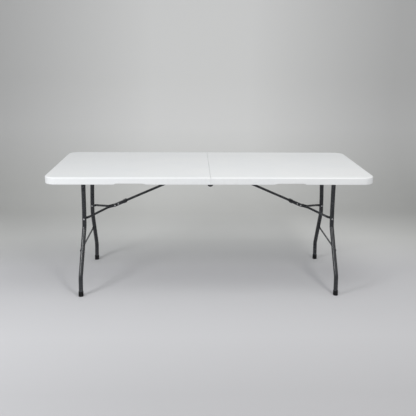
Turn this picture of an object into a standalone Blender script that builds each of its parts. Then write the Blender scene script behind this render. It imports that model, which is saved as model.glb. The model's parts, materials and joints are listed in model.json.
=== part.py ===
"""Plastic folding table: two moulded halves that fold in the middle, on two pairs of folding steel legs.

Metres, +Z up. The origin is on the floor under the middle of the open table. X runs along the table, left is -X,
and the front is at -Y. Each half is built in the frame of the fold axis, each pair of legs in the frame of its own
pivot, and each brace in the frames of its two pivots, so turning one of those empties folds the piece.
"""
import math

import bmesh
import bpy
from mathutils import Matrix, Vector

# Open table
LENGTH = 1.829
WIDTH = 0.762
HEIGHT = 0.737
SEAM_GAP = 0.0006
FIT_GAP = 0.0003

# Moulded half: skirt, deck, rounded corners and edges
PANEL_DEPTH = 0.040
DECK_THICKNESS = 0.010
SKIRT_WALL = 0.012
CORNER_RADIUS = 0.065
TOP_EDGE_RADIUS = 0.007
SEAM_EDGE_RADIUS = 0.0016
LIP_RADIUS = 0.002
CORNER_STEPS = 10
EDGE_STEPS = 5

# Hand grip: the stretch of each long skirt that is drawn up
GRIP_LENGTH = 0.186
GRIP_RISE = 0.0055
GRIP_INNER_RAMP = 0.028
GRIP_OUTER_RAMP = 0.017
GRIP_FROM_SEAM = 0.441

# Centre hinges, riveted to the rails and turning about the skirt's lower plane
HINGE_RADIUS = 0.0175
HINGE_LEAF_THICKNESS = 0.0025
HINGE_LEAF_LENGTH = 0.112
HINGE_LEAF_LIFT = 0.001
HINGE_PIN_RADIUS = 0.004
HINGE_PIN_HEAD_RADIUS = 0.0075
HINGE_PIN_HEAD_THICKNESS = 0.002
HINGE_SPACER_RADIUS = 0.007
HINGE_SLOT_CLEARANCE = 0.001
HINGE_SLOT_RAMP = 0.001
HINGE_RIVET_SHARES = (0.50, 0.86)

# Rails: steel angles under the long sides
RAIL_SHEET = 0.0015
RAIL_FLANGE = 0.025
RAIL_WEB = 0.024
RAIL_FROM_SIDE = 0.031
RAIL_END_FROM_TABLE_END = 0.0645
RAIL_SCREW_SHARES = (0.19, 0.44, 0.69, 0.95)
RAIL_SCREW_ACROSS_SHARE = 0.62

# Fasteners
SCREW_HEAD_RADIUS = 0.004
SCREW_HEAD_THICKNESS = 0.002
SCREW_RADIUS = 0.0018
SCREW_BITE = 0.007
SCREW_CROWN_SHARE = 0.7
RIVET_RADIUS = 0.0025
RIVET_HEAD_RADIUS = 0.0045
RIVET_HEAD_THICKNESS = 0.0015

# Legs: bent tubes hung on a pivot tube
LEG_PIVOT_FROM_TABLE_END = 0.1795
LEG_PIVOT_DROP = 0.0149
PIVOT_TUBE_RADIUS = 0.0095
PIVOT_TUBE_FROM_SIDE = 0.081
LEG_RADIUS = 0.0127
LEG_TOP_SPREAD = 0.163
LEG_WAIST_SPREAD = 0.1475
LEG_WAIST_TOP = 0.2315
LEG_FLARE_TOP = 0.3295
LEG_FLARE_ABOVE_FLOOR = 0.118
LEG_FOOT_FROM_SIDE = 0.079
LEG_BEND_RADIUS = 0.060
LEG_TOP_COPE_SHARE = 0.6
FOOT_SPLAY = 0.0226
CROSSBAR_FLARE_SHARE = 0.485
CROSSBAR_RADIUS = 0.005
CROSSBAR_UNDER_STRUT = 0.0006
FOOT_CAP_HEIGHT = 0.0315
FOOT_CAP_FLOOR = 0.005
FOOT_CAP_WALL = 0.0015
FOOT_CAP_CHAMFER = 0.0012

# Saddles that hold the pivot tube under the deck
SADDLE_WALL = 0.0018
SADDLE_LENGTH = 0.022
SADDLE_FROM_TUBE_END = 0.050
SADDLE_FLANGE = 0.0145

# Brace: strut from the middle, knuckle, and two arms to the legs
BRACE_WAIST_SHARE = 0.515
KNUCKLE_OVER_CENTRE = 0.020
KNUCKLE_DROP_FOLDED = 0.012
STRUT_PIN_FROM_SEAM = 0.0265
STRUT_PIN_DROP = 0.0115
STRUT_HALF_WIDTH = 0.0084
STRUT_HALF_HEIGHT = 0.0072
STRUT_END_FROM_KNUCKLE = 0.014
CHANNEL_WALL = 0.0015
CHANNEL_HALF_HEIGHT = 0.009
CHANNEL_LENGTH = 0.091
CHANNEL_OVERHANG = 0.010
CHANNEL_RIVET_SHARES = (0.24, 0.75)
PIN_RADIUS = 0.003
PIN_HEAD_RADIUS = 0.005
PIN_HEAD_THICKNESS = 0.0018

# Strut bracket: an inverted U under the deck, by the seam
BRACKET_SHEET = 0.0015
BRACKET_CHEEK = 0.002
BRACKET_LENGTH = 0.026
BRACKET_HALF_WIDTH = 0.0260
BRACKET_BELOW_PIN = 0.007

# Brace arms: rods whose ends are pressed flat
ARM_RADIUS = 0.0068
ARM_EYE_HALF_THICKNESS = 0.002
ARM_EYE_HALF_HEIGHT = 0.0074
ARM_PARALLEL = 0.042
ARM_LEG_STRETCH = 0.024
ARM_BEND_RADIUS = 0.026
ARM_LEG_GAP = 0.0005

# Lock ring, pushed up the channel, clear of the folded arms
RING_WALL = 0.0012
RING_LENGTH = 0.018
RING_UP = 0.066
RING_CORNER_RADIUS = 0.004
RING_SIDE_GAP = 0.0006

# Facets of round pieces
TUBE_SIDES = 14
ROD_SIDES = 10
SMALL_SIDES = 8
CORNER_TURN_STEPS = 4
BEND_STEP_ANGLE = math.radians(8)
SHARP_ANGLE = math.radians(35)
SOLVER_SHARE = 0.0001

# Places worked out from the sizes above, in the frame of the fold axis: distance from the seam, and height
AXIS_HEIGHT = HEIGHT - PANEL_DEPTH - FIT_GAP
PANEL_FOOT = FIT_GAP
PANEL_TOP = PANEL_FOOT + PANEL_DEPTH
DECK_UNDERSIDE = PANEL_TOP - DECK_THICKNESS
LEG_PIVOT = (LENGTH / 2 - LEG_PIVOT_FROM_TABLE_END, DECK_UNDERSIDE - LEG_PIVOT_DROP)
LEG_PIVOT_HEIGHT = AXIS_HEIGHT + LEG_PIVOT[1]
LEG_SPLAY = math.atan2(FOOT_SPLAY, LEG_PIVOT_HEIGHT)
LEG_LENGTH = LEG_PIVOT_HEIGHT / math.cos(LEG_SPLAY)
LEG_FLARE_END = LEG_LENGTH - LEG_FLARE_ABOVE_FLOOR
LEG_FOOT_SPREAD = WIDTH / 2 - LEG_FOOT_FROM_SIDE
BRACE_DOWN_LEG = LEG_WAIST_TOP + BRACE_WAIST_SHARE * (LEG_FLARE_TOP - LEG_WAIST_TOP)
CROSSBAR_DOWN_LEG = LEG_FLARE_TOP + CROSSBAR_FLARE_SHARE * (LEG_FLARE_END - LEG_FLARE_TOP)
CROSSBAR_SPREAD = LEG_WAIST_SPREAD + CROSSBAR_FLARE_SHARE * (LEG_FOOT_SPREAD - LEG_WAIST_SPREAD)
PIVOT_TUBE_REACH = WIDTH / 2 - PIVOT_TUBE_FROM_SIDE
SADDLE_SPREAD = PIVOT_TUBE_REACH - SADDLE_FROM_TUBE_END
STRUT_PIN = (STRUT_PIN_FROM_SEAM, DECK_UNDERSIDE - STRUT_PIN_DROP)
CHANNEL_INNER = STRUT_HALF_WIDTH + FIT_GAP
CHANNEL_OUTER = CHANNEL_INNER + CHANNEL_WALL
ARM_EYE_SPREAD = CHANNEL_OUTER + FIT_GAP + ARM_EYE_HALF_THICKNESS
KNUCKLE_HEAD_START = ARM_EYE_SPREAD + ARM_EYE_HALF_THICKNESS + FIT_GAP
RAIL_START = HINGE_RADIUS + HINGE_SLOT_CLEARANCE
RAIL_END = LENGTH / 2 - RAIL_END_FROM_TABLE_END
RAIL_OUTER_SPREAD = WIDTH / 2 - RAIL_FROM_SIDE
WEB_INNER = RAIL_OUTER_SPREAD - RAIL_SHEET

# Name, direction along X, and the two faces of that half's hinge leaf as distances from the table's middle plane
HALVES = (
    ("left", -1, WEB_INNER - FIT_GAP - HINGE_LEAF_THICKNESS, WEB_INNER - FIT_GAP),
    ("right", 1, RAIL_OUTER_SPREAD + FIT_GAP, RAIL_OUTER_SPREAD + FIT_GAP + HINGE_LEAF_THICKNESS),
)
LONG_SIDES = (("front", -1), ("rear", 1))

# Finish: linear base colour, roughness, metallic
WHITE_PLASTIC = ((0.80, 0.81, 0.81), 0.45, 0.0)
GREY_PAINT = ((0.030, 0.033, 0.038), 0.32, 0.35)
DARK_PAINT = ((0.022, 0.024, 0.027), 0.40, 0.30)
BLACK_RUBBER = ((0.012, 0.012, 0.013), 0.65, 0.0)
BRIGHT_STEEL = ((0.62, 0.62, 0.64), 0.30, 1.0)


def brace_geometry():
    """Strut length and arm length, and the slopes of the strut and the arms with the legs open.

    Folded, the arms and the strut lie along the recess, one on the other. Open, they nearly reach their full
    length, with the knuckle a little below the straight line from the leg to the strut's pin. Both together settle
    the two lengths, which are found by halving.
    """
    folded_end = (LEG_PIVOT[0] - BRACE_DOWN_LEG, LEG_PIVOT[1])
    knuckle_z = DECK_UNDERSIDE - KNUCKLE_DROP_FOLDED
    open_end = (
        LEG_PIVOT[0] + BRACE_DOWN_LEG * math.sin(LEG_SPLAY),
        LEG_PIVOT[1] - BRACE_DOWN_LEG * math.cos(LEG_SPLAY),
    )
    span = math.dist(open_end, STRUT_PIN)
    line_slope = math.atan2(STRUT_PIN[1] - open_end[1], open_end[0] - STRUT_PIN[0])
    shortest = KNUCKLE_OVER_CENTRE
    longest = span
    while longest - shortest > FIT_GAP * SOLVER_SHARE:
        level = (shortest + longest) / 2
        arm = math.hypot(level, knuckle_z - folded_end[1])
        strut = math.dist((folded_end[0] + level, knuckle_z), STRUT_PIN)
        reach = math.sqrt(arm ** 2 - KNUCKLE_OVER_CENTRE ** 2) + math.sqrt(strut ** 2 - KNUCKLE_OVER_CENTRE ** 2)
        if reach < span:
            shortest = level
        else:
            longest = level
    strut_slope = line_slope + math.asin(KNUCKLE_OVER_CENTRE / strut)
    arm_slope = line_slope - math.asin(KNUCKLE_OVER_CENTRE / arm)
    return strut, arm, strut_slope, arm_slope


def crossbar_offset(strut):
    """How far the crossbar stands out from the legs' plane, so that it lies under the strut when all is folded."""
    from_pin = LEG_PIVOT[0] - CROSSBAR_DOWN_LEG - STRUT_PIN[0]
    strut_fall = STRUT_PIN[1] - (DECK_UNDERSIDE - KNUCKLE_DROP_FOLDED)
    strut_underside = STRUT_PIN[1] - strut_fall * from_pin / strut - STRUT_HALF_HEIGHT
    return LEG_PIVOT[1] - (strut_underside - CROSSBAR_UNDER_STRUT - CROSSBAR_RADIUS)


def clear_scene():
    """Remove every object, mesh and material that the file opened with."""
    for thing in list(bpy.data.objects):
        bpy.data.objects.remove(thing, do_unlink=True)
    for mesh in list(bpy.data.meshes):
        bpy.data.meshes.remove(mesh)
    for material in list(bpy.data.materials):
        bpy.data.materials.remove(material)


def make_material(name, finish):
    """Principled material with the finish's colour, roughness and metallic value."""
    colour, roughness, metallic = finish
    material = bpy.data.materials.new(name)
    material.use_nodes = True
    shader = material.node_tree.nodes["Principled BSDF"]
    shader.inputs["Base Color"].default_value = (*colour, 1.0)
    shader.inputs["Roughness"].default_value = roughness
    shader.inputs["Metallic"].default_value = metallic
    return material


def add_empty(name, location, parent=None, turn_y=0.0):
    """Empty that marks a joint's axis, which runs along its local Y."""
    empty = bpy.data.objects.new(name, None)
    empty.location = location
    empty.rotation_euler = (0.0, turn_y, 0.0)
    empty.parent = parent
    bpy.context.scene.collection.objects.link(empty)
    return empty


def add_part(name, shape, finish, parent, location=(0.0, 0.0, 0.0)):
    """Object for one piece, from a bmesh in its parent's frame."""
    mesh = bpy.data.meshes.new(name)
    bmesh.ops.recalc_face_normals(shape, faces=shape.faces)
    shape.to_mesh(mesh)
    shape.free()
    mesh.shade_smooth()
    mesh.set_sharp_from_angle(angle=SHARP_ANGLE)
    mesh.materials.append(make_material(name + "_finish", finish))
    part = bpy.data.objects.new(name, mesh)
    part.location = location
    part.parent = parent
    bpy.context.scene.collection.objects.link(part)
    return part


def combine(part, shape, operation):
    """Join a bmesh to the part (UNION), or cut it out (DIFFERENCE); it is given in the frame of the part's parent."""
    helper = add_part(f"{part.name}_{operation.lower()}_helper", shape, DARK_PAINT, part.parent)
    helper.hide_render = True
    helper.display_type = "WIRE"
    boolean = part.modifiers.new(operation.lower(), "BOOLEAN")
    boolean.operation = operation
    boolean.object = helper


def cut(part, shape):
    """Cut a bmesh out of the part."""
    combine(part, shape, "DIFFERENCE")


def fuse(part, shape):
    """Make a bmesh one body with the part."""
    combine(part, shape, "UNION")


def joined(shapes):
    """One bmesh that holds several, each still a separate closed body."""
    whole = bmesh.new()
    for shape in shapes:
        mesh = bpy.data.meshes.new("joined")
        shape.to_mesh(mesh)
        shape.free()
        whole.from_mesh(mesh)
        bpy.data.meshes.remove(mesh)
    return whole


def skin(rings, closed=False):
    """Closed body through rings of equally many points: caps on the first and last, or a closed loop of rings."""
    shape = bmesh.new()
    rows = [[shape.verts.new(point) for point in ring] for ring in rings]
    pairs = list(zip(rows, rows[1:]))
    if closed:
        pairs.append((rows[-1], rows[0]))
    else:
        shape.faces.new(rows[0])
        shape.faces.new(rows[-1])
    for lower, upper in pairs:
        for place in range(len(lower)):
            following = (place + 1) % len(lower)
            shape.faces.new((lower[place], lower[following], upper[following], upper[place]))
    return shape


def oval(half_width, half_height, sides):
    """Points of an oval: half rounds on a flat middle, or a plain circle where both halves are alike."""
    radius = min(half_width, half_height)
    points = []
    for place in range(sides):
        angle = 2 * math.pi * (place + 0.5) / sides
        across = math.cos(angle)
        up = math.sin(angle)
        flat_width = math.copysign(half_width - radius, across)
        flat_height = math.copysign(half_height - radius, up)
        points.append((flat_width + radius * across, flat_height + radius * up))
    return points


def filleted(corners, radius):
    """Points of a bent line whose inner corners are arcs of the given radius."""
    path = [Vector(corners[0])]
    for before, corner, after in zip(corners, corners[1:], corners[2:]):
        corner = Vector(corner)
        arriving = (Vector(before) - corner).normalized()
        leaving = (Vector(after) - corner).normalized()
        bend = math.pi - arriving.angle(leaving)
        steps = max(1, math.ceil(bend / BEND_STEP_ANGLE))
        centre = corner + (arriving + leaving).normalized() * (radius / math.cos(bend / 2))
        start = corner + arriving * (radius * math.tan(bend / 2))
        turn = Matrix.Rotation(bend / steps, 3, arriving.cross(leaving).normalized() * -1)
        spoke = start - centre
        for _ in range(steps + 1):
            path.append(centre + spoke)
            spoke = turn @ spoke
    path.append(Vector(corners[-1]))
    return path


def swept(path, sections, across, sides):
    """Bar along a path that lies in a plane: sections holds its half thickness in that plane and square to it."""
    across = Vector(across)
    rings = []
    for place, centre in enumerate(path):
        ahead = path[min(place + 1, len(path) - 1)]
        behind = path[max(place - 1, 0)]
        inward = across.cross((ahead - behind).normalized())
        half_in, half_across = sections[place]
        rings.append([centre + inward * u + across * v for u, v in oval(half_in, half_across, sides)])
    return skin(rings)


def turned(profile, sides, axis="Z", centre=(0.0, 0.0, 0.0)):
    """Body turned about an axis through centre, from a profile of (place along the axis, radius)."""
    rings = []
    for along, radius in profile:
        flat = oval(radius, radius, sides)
        if axis == "Z":
            ring = [(v, u, along) for u, v in flat]
        else:
            ring = [(u, along, v) for u, v in flat]
        rings.append([Vector(centre) + Vector(point) for point in ring])
    return skin(rings)


def rod(radius, low, high, sides, axis="Y", centre=(0.0, 0.0, 0.0)):
    """Plain round rod from low to high along the axis."""
    return turned([(low, radius), (high, radius)], sides, axis, centre)


def headed_pin(radius, head_radius, head_thickness, low, high, sides, centre=(0.0, 0.0, 0.0)):
    """Pin along Y whose shank runs from low to high, with a head beyond each end."""
    profile = [
        (low - head_thickness, head_radius),
        (low, head_radius),
        (low, radius),
        (high, radius),
        (high, head_radius),
        (high + head_thickness, head_radius),
    ]
    return turned(profile, sides, "Y", centre)


def extruded(outline, low, high, axis):
    """Prism of an outline: (x, z) points along Y, or (y, z) points along X."""
    if axis == "Y":
        return skin([[(u, level, v) for u, v in outline] for level in (low, high)])
    return skin([[(level, u, v) for u, v in outline] for level in (low, high)])


def sleeve(outer, inner, low, high, axis):
    """Prism of an outline with a hole of as many points."""
    loops = ((outer, low), (outer, high), (inner, high), (inner, low))
    if axis == "Y":
        rings = [[(u, level, v) for u, v in loop] for loop, level in loops]
    else:
        rings = [[(level, u, v) for u, v in loop] for loop, level in loops]
    return skin(rings, closed=True)


def arc(centre, radius, start, end, steps):
    """Points of an arc, with both ends, angles in degrees from the first axis towards the second."""
    points = []
    for step in range(steps + 1):
        angle = math.radians(start + (end - start) * step / steps)
        points.append((centre[0] + radius * math.cos(angle), centre[1] + radius * math.sin(angle)))
    return points


def mirrored(outline, side):
    """Outline with its first coordinate on the given side."""
    return [(side * u, v) for u, v in outline]


def slot_edges():
    """Distances from the middle plane between which the seam wall is open for the hinge."""
    head_depth = FIT_GAP + HINGE_PIN_HEAD_THICKNESS + HINGE_SLOT_CLEARANCE
    return HALVES[0][2] - head_depth, HALVES[1][3] + head_depth


def panel_outline(inset, seam_inset):
    """Plan of a half with its edge drawn in, as (distance from seam, y, rise of the lower edge at that point)."""
    seam = SEAM_GAP / 2 + seam_inset
    end = LENGTH / 2 - inset
    side = WIDTH / 2 - inset
    radius = CORNER_RADIUS - inset
    grip_start = GRIP_FROM_SEAM - GRIP_LENGTH / 2
    grip_end = GRIP_FROM_SEAM + GRIP_LENGTH / 2
    grip = (
        (grip_start, 0.0),
        (grip_start + GRIP_INNER_RAMP, GRIP_RISE),
        (grip_end - GRIP_OUTER_RAMP, GRIP_RISE),
        (grip_end, 0.0),
    )
    slot_low, slot_high = slot_edges()
    slot_rise = HINGE_RADIUS + HINGE_SLOT_CLEARANCE - PANEL_FOOT
    slot = (
        (slot_high + HINGE_SLOT_RAMP, 0.0),
        (slot_high, slot_rise),
        (slot_low, slot_rise),
        (slot_low - HINGE_SLOT_RAMP, 0.0),
    )
    front = [(seam, -side, 0.0)] + [(x, -side, rise) for x, rise in grip]
    corner = arc((end - radius, side - radius), radius, 90, 0, CORNER_STEPS)
    front += [(x, -y, 0.0) for x, y in corner]
    rear = [(x, -y, rise) for x, y, rise in reversed(front)]
    wall = [(seam, y, rise) for y, rise in slot] + [(seam, -y, rise) for y, rise in reversed(slot)]
    return front + rear + wall


def panel_shape(side):
    """Half of the table top: deck, skirt all round, rounded upper edge, grips and hinge slots."""
    lip = LIP_RADIUS * (1 - math.cos(math.pi / 4))
    levels = [(LIP_RADIUS, LIP_RADIUS, 0.0), (lip, lip, lip), (0.0, 0.0, LIP_RADIUS)]
    rings = []
    for inset, seam_inset, lift in levels:
        outline = panel_outline(inset, seam_inset)
        rings.append([(side * x, y, PANEL_FOOT + rise + lift) for x, y, rise in outline])
    for step in range(EDGE_STEPS + 1):
        angle = math.pi / 2 * step / EDGE_STEPS
        inset = TOP_EDGE_RADIUS * (1 - math.cos(angle))
        seam_inset = SEAM_EDGE_RADIUS * (1 - math.cos(angle))
        height = PANEL_TOP - TOP_EDGE_RADIUS * (1 - math.sin(angle))
        seam_height = PANEL_TOP - SEAM_EDGE_RADIUS * (1 - math.sin(angle))
        ring = []
        for x, y, _ in panel_outline(inset, seam_inset):
            at_seam = x <= SEAM_GAP / 2 + seam_inset + FIT_GAP / 2
            inside = abs(y) < WIDTH / 2 - TOP_EDGE_RADIUS
            ring.append((side * x, y, seam_height if at_seam and inside else height))
        rings.append(ring)
    inner = [(side * x, y, PANEL_FOOT + rise) for x, y, rise in panel_outline(SKIRT_WALL, SKIRT_WALL)]
    ceiling = [(x, y, DECK_UNDERSIDE) for x, y, _ in inner]
    return skin([ceiling, inner] + rings)


def rail_screws(row):
    """Places of a rail's screws as (distance from seam, y)."""
    y = row * (RAIL_OUTER_SPREAD - RAIL_FLANGE * RAIL_SCREW_ACROSS_SHARE)
    return [(RAIL_START + share * (RAIL_END - RAIL_START), y) for share in RAIL_SCREW_SHARES]


def saddle_screws(row):
    """Places of a saddle's screws, one on each flange."""
    reach = PIVOT_TUBE_RADIUS + FIT_GAP + SADDLE_WALL + SADDLE_FLANGE / 2
    return [(LEG_PIVOT[0] + way * reach, row * SADDLE_SPREAD) for way in (-1, 1)]


def bracket_screws():
    """Places of the strut bracket's screws, one on each flange."""
    y = (CHANNEL_INNER + BRACKET_CHEEK + BRACKET_HALF_WIDTH) / 2
    return [(STRUT_PIN[0], row * y) for _, row in LONG_SIDES]


def deck_holes(side):
    """Blind holes in the underside of the deck for all screws of a half."""
    low = DECK_UNDERSIDE - SCREW_BITE
    high = DECK_UNDERSIDE + SCREW_BITE + FIT_GAP
    radius = SCREW_RADIUS + FIT_GAP
    places = bracket_screws()
    for _, row in LONG_SIDES:
        places += rail_screws(row) + saddle_screws(row)
    return joined([rod(radius, low, high, SMALL_SIDES, "Z", (side * x, y, 0.0)) for x, y in places])


def screws_shape(side, places, sheet):
    """Screws that hold a sheet under the deck, each a head set into the sheet's face and a shank into the deck."""
    seat = DECK_UNDERSIDE - FIT_GAP - sheet / 2
    under = seat - sheet / 2 - SCREW_HEAD_THICKNESS
    profile = [
        (under, SCREW_HEAD_RADIUS * SCREW_CROWN_SHARE),
        (under + SCREW_HEAD_THICKNESS / 2, SCREW_HEAD_RADIUS),
        (seat, SCREW_HEAD_RADIUS),
        (seat, SCREW_RADIUS),
        (DECK_UNDERSIDE + SCREW_BITE, SCREW_RADIUS),
    ]
    return joined([turned(profile, SMALL_SIDES, "Z", (side * x, y, 0.0)) for x, y in places])


def rail_shape(side, row):
    """Steel angle: a flange under the deck and a web beside the skirt."""
    top = DECK_UNDERSIDE - FIT_GAP
    section = [
        (RAIL_OUTER_SPREAD - RAIL_FLANGE, top),
        (RAIL_OUTER_SPREAD, top),
        (RAIL_OUTER_SPREAD, top - RAIL_WEB),
        (WEB_INNER, top - RAIL_WEB),
        (WEB_INNER, top - RAIL_SHEET),
        (RAIL_OUTER_SPREAD - RAIL_FLANGE, top - RAIL_SHEET),
    ]
    return extruded(mirrored(section, row), side * RAIL_START, side * RAIL_END, "X")


def hinge_rivet_places():
    """Rivets of a hinge leaf as (distance from seam, height)."""
    height = (HINGE_RADIUS + HINGE_LEAF_LIFT) / 2
    return [(share * HINGE_LEAF_LENGTH, height) for share in HINGE_RIVET_SHARES]


def hinge_leaf_shape(side, row, inner_face, outer_face):
    """Flat leaf: a round lug about the fold axis and an arm along the rail."""
    drop = math.degrees(math.asin(HINGE_LEAF_LIFT / HINGE_RADIUS))
    outline = arc((0.0, 0.0), HINGE_RADIUS, 90, 360 + drop, SMALL_SIDES * 2)
    outline += [(HINGE_LEAF_LENGTH, HINGE_LEAF_LIFT), (HINGE_LEAF_LENGTH, HINGE_RADIUS)]
    return extruded(mirrored(outline, side), row * inner_face, row * outer_face, "Y")


def web_holes(side, row):
    """Holes in a rail's web for the rivets of its hinge leaf."""
    low, high = slot_edges()
    radius = RIVET_RADIUS + FIT_GAP
    ends = sorted((row * low, row * high))
    return joined([rod(radius, *ends, SMALL_SIDES, "Y", (side * x, 0.0, z)) for x, z in hinge_rivet_places()])


def leaf_rivets(side, row, inner_face, outer_face):
    """Rivets of a hinge leaf: one head set into the leaf, the other beyond the rail's web."""
    leaf_middle = (inner_face + outer_face) / 2
    if inner_face < WEB_INNER:
        leaf_head = inner_face - RIVET_HEAD_THICKNESS
        web_head = (RAIL_OUTER_SPREAD + FIT_GAP, RAIL_OUTER_SPREAD + FIT_GAP + RIVET_HEAD_THICKNESS)
    else:
        leaf_head = outer_face + RIVET_HEAD_THICKNESS
        web_head = (WEB_INNER - FIT_GAP, WEB_INNER - FIT_GAP - RIVET_HEAD_THICKNESS)
    profile = [
        (row * leaf_head, RIVET_HEAD_RADIUS),
        (row * leaf_middle, RIVET_HEAD_RADIUS),
        (row * leaf_middle, RIVET_RADIUS),
        (row * web_head[0], RIVET_RADIUS),
        (row * web_head[0], RIVET_HEAD_RADIUS),
        (row * web_head[1], RIVET_HEAD_RADIUS),
    ]
    return joined([turned(profile, SMALL_SIDES, "Y", (side * x, 0.0, z)) for x, z in hinge_rivet_places()])


def saddle_shape(side, row):
    """Strap bent round the pivot tube, with a flange on each side that is screwed to the deck."""
    top = DECK_UNDERSIDE - FIT_GAP
    inner = PIVOT_TUBE_RADIUS + FIT_GAP
    outer = inner + SADDLE_WALL
    reach = outer + SADDLE_FLANGE
    under = LEG_PIVOT[1]
    inner_arc = arc((0.0, under), inner, 180, 360, SMALL_SIDES)
    outer_arc = arc((0.0, under), outer, 360, 180, SMALL_SIDES)
    section = [(-reach, top), (-inner, top)] + inner_arc + [(inner, top), (reach, top)]
    section += [(reach, top - SADDLE_WALL), (outer, top - SADDLE_WALL)] + outer_arc
    section += [(-outer, top - SADDLE_WALL), (-reach, top - SADDLE_WALL)]
    section = [(side * LEG_PIVOT[0] + x, z) for x, z in section]
    ends = [row * (SADDLE_SPREAD + way * SADDLE_LENGTH / 2) for way in (-1, 1)]
    return extruded(section, *ends, "Y")


def strut_bracket_shape(side):
    """Inverted U with two side flanges, screwed to the deck; the strut turns between its cheeks."""
    top = DECK_UNDERSIDE - FIT_GAP
    base = top - BRACKET_SHEET
    inner = CHANNEL_INNER
    outer = inner + BRACKET_CHEEK
    bottom = STRUT_PIN[1] - BRACKET_BELOW_PIN
    half = [
        (BRACKET_HALF_WIDTH, top),
        (BRACKET_HALF_WIDTH, base),
        (outer, base),
        (outer, bottom),
        (inner, bottom),
        (inner, base),
    ]
    section = half + mirrored(reversed(half), -1)
    ends = [side * (STRUT_PIN[0] + way * BRACKET_LENGTH / 2) for way in (-1, 1)]
    return extruded(section, *ends, "X")


def build_half(name, side, inner_face, outer_face, frame):
    """One half of the top with everything that is fastened to it; screws and rivets are one with their sheet."""
    panel = add_part(name + "_top_panel", panel_shape(side), WHITE_PLASTIC, frame)
    cut(panel, deck_holes(side))
    low, high = slot_edges()
    for end_name, row in LONG_SIDES:
        rail = add_part(f"{name}_{end_name}_rail", rail_shape(side, row), DARK_PAINT, frame)
        fuse(rail, screws_shape(side, rail_screws(row), RAIL_SHEET))
        cut(rail, web_holes(side, row))
        leaf = hinge_leaf_shape(side, row, inner_face, outer_face)
        leaf = add_part(f"{name}_{end_name}_hinge_leaf", leaf, DARK_PAINT, frame)
        fuse(leaf, leaf_rivets(side, row, inner_face, outer_face))
        ends = sorted((row * low, row * high))
        cut(leaf, rod(HINGE_PIN_RADIUS + FIT_GAP, *ends, ROD_SIDES))
        saddle = add_part(f"{name}_{end_name}_saddle", saddle_shape(side, row), DARK_PAINT, frame)
        fuse(saddle, screws_shape(side, saddle_screws(row), SADDLE_WALL))
    bracket = add_part(name + "_strut_bracket", strut_bracket_shape(side), DARK_PAINT, frame)
    fuse(bracket, screws_shape(side, bracket_screws(), BRACKET_SHEET))
    pin_centre = (side * STRUT_PIN[0], 0.0, STRUT_PIN[1])
    pin_reach = CHANNEL_INNER + BRACKET_CHEEK + FIT_GAP
    cut(bracket, rod(PIN_RADIUS + FIT_GAP, -BRACKET_HALF_WIDTH, BRACKET_HALF_WIDTH, ROD_SIDES, "Y", pin_centre))
    pin = headed_pin(PIN_RADIUS, PIN_HEAD_RADIUS, PIN_HEAD_THICKNESS, -pin_reach, pin_reach, ROD_SIDES, pin_centre)
    add_part(name + "_strut_pin", pin, BRIGHT_STEEL, frame)


def build_hinge_pins(frame):
    """Pin and spacer of the front and the rear hinge, loose in both leaves."""
    low = HALVES[0][2] - FIT_GAP
    high = HALVES[1][3] + FIT_GAP
    spacer_faces = (HALVES[0][3] + FIT_GAP, HALVES[1][2] - FIT_GAP)
    outer = oval(HINGE_SPACER_RADIUS, HINGE_SPACER_RADIUS, ROD_SIDES)
    inner = oval(HINGE_PIN_RADIUS + FIT_GAP, HINGE_PIN_RADIUS + FIT_GAP, ROD_SIDES)
    for end_name, row in LONG_SIDES:
        ends = sorted((row * low, row * high))
        pin = headed_pin(HINGE_PIN_RADIUS, HINGE_PIN_HEAD_RADIUS, HINGE_PIN_HEAD_THICKNESS, *ends, ROD_SIDES)
        add_part(end_name + "_hinge_pin", pin, BRIGHT_STEEL, frame)
        faces = [row * face for face in spacer_faces]
        add_part(end_name + "_hinge_spacer", sleeve(outer, inner, *faces, "Y"), DARK_PAINT, frame)


def leg_path(row):
    """Middle line of a leg tube in the pivot's frame, from the pivot tube down to the foot cap's floor."""
    foot = LEG_LENGTH - FOOT_CAP_FLOOR - FIT_GAP
    corners = [
        (0.0, row * LEG_TOP_SPREAD, -LEG_TOP_COPE_SHARE * PIVOT_TUBE_RADIUS),
        (0.0, row * LEG_WAIST_SPREAD, -LEG_WAIST_TOP),
        (0.0, row * LEG_WAIST_SPREAD, -LEG_FLARE_TOP),
        (0.0, row * LEG_FOOT_SPREAD, -LEG_FLARE_END),
        (0.0, row * LEG_FOOT_SPREAD, -foot),
    ]
    return filleted(corners, LEG_BEND_RADIUS)


def foot_cap_shape(side, row):
    """Cup over the end of a leg tube, its sole cut level with the floor."""
    sole = -LEG_LENGTH
    bore = LEG_RADIUS + FIT_GAP
    outer = bore + FOOT_CAP_WALL
    rim = outer - FOOT_CAP_CHAMFER / 2
    top = sole + FOOT_CAP_HEIGHT
    profile = [
        (sole, outer - FOOT_CAP_CHAMFER),
        (sole + FOOT_CAP_CHAMFER, outer),
        (top - FOOT_CAP_CHAMFER, outer),
        (top, rim),
        (top, bore),
        (sole + FOOT_CAP_FLOOR, bore),
    ]
    shape = turned(profile, TUBE_SIDES, "Z", (0.0, row * LEG_FOOT_SPREAD, 0.0))
    for vertex in shape.verts:
        if vertex.co.z < sole + FOOT_CAP_CHAMFER / 2:
            vertex.co.z = sole - side * vertex.co.x * math.tan(LEG_SPLAY)
    return shape


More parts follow.
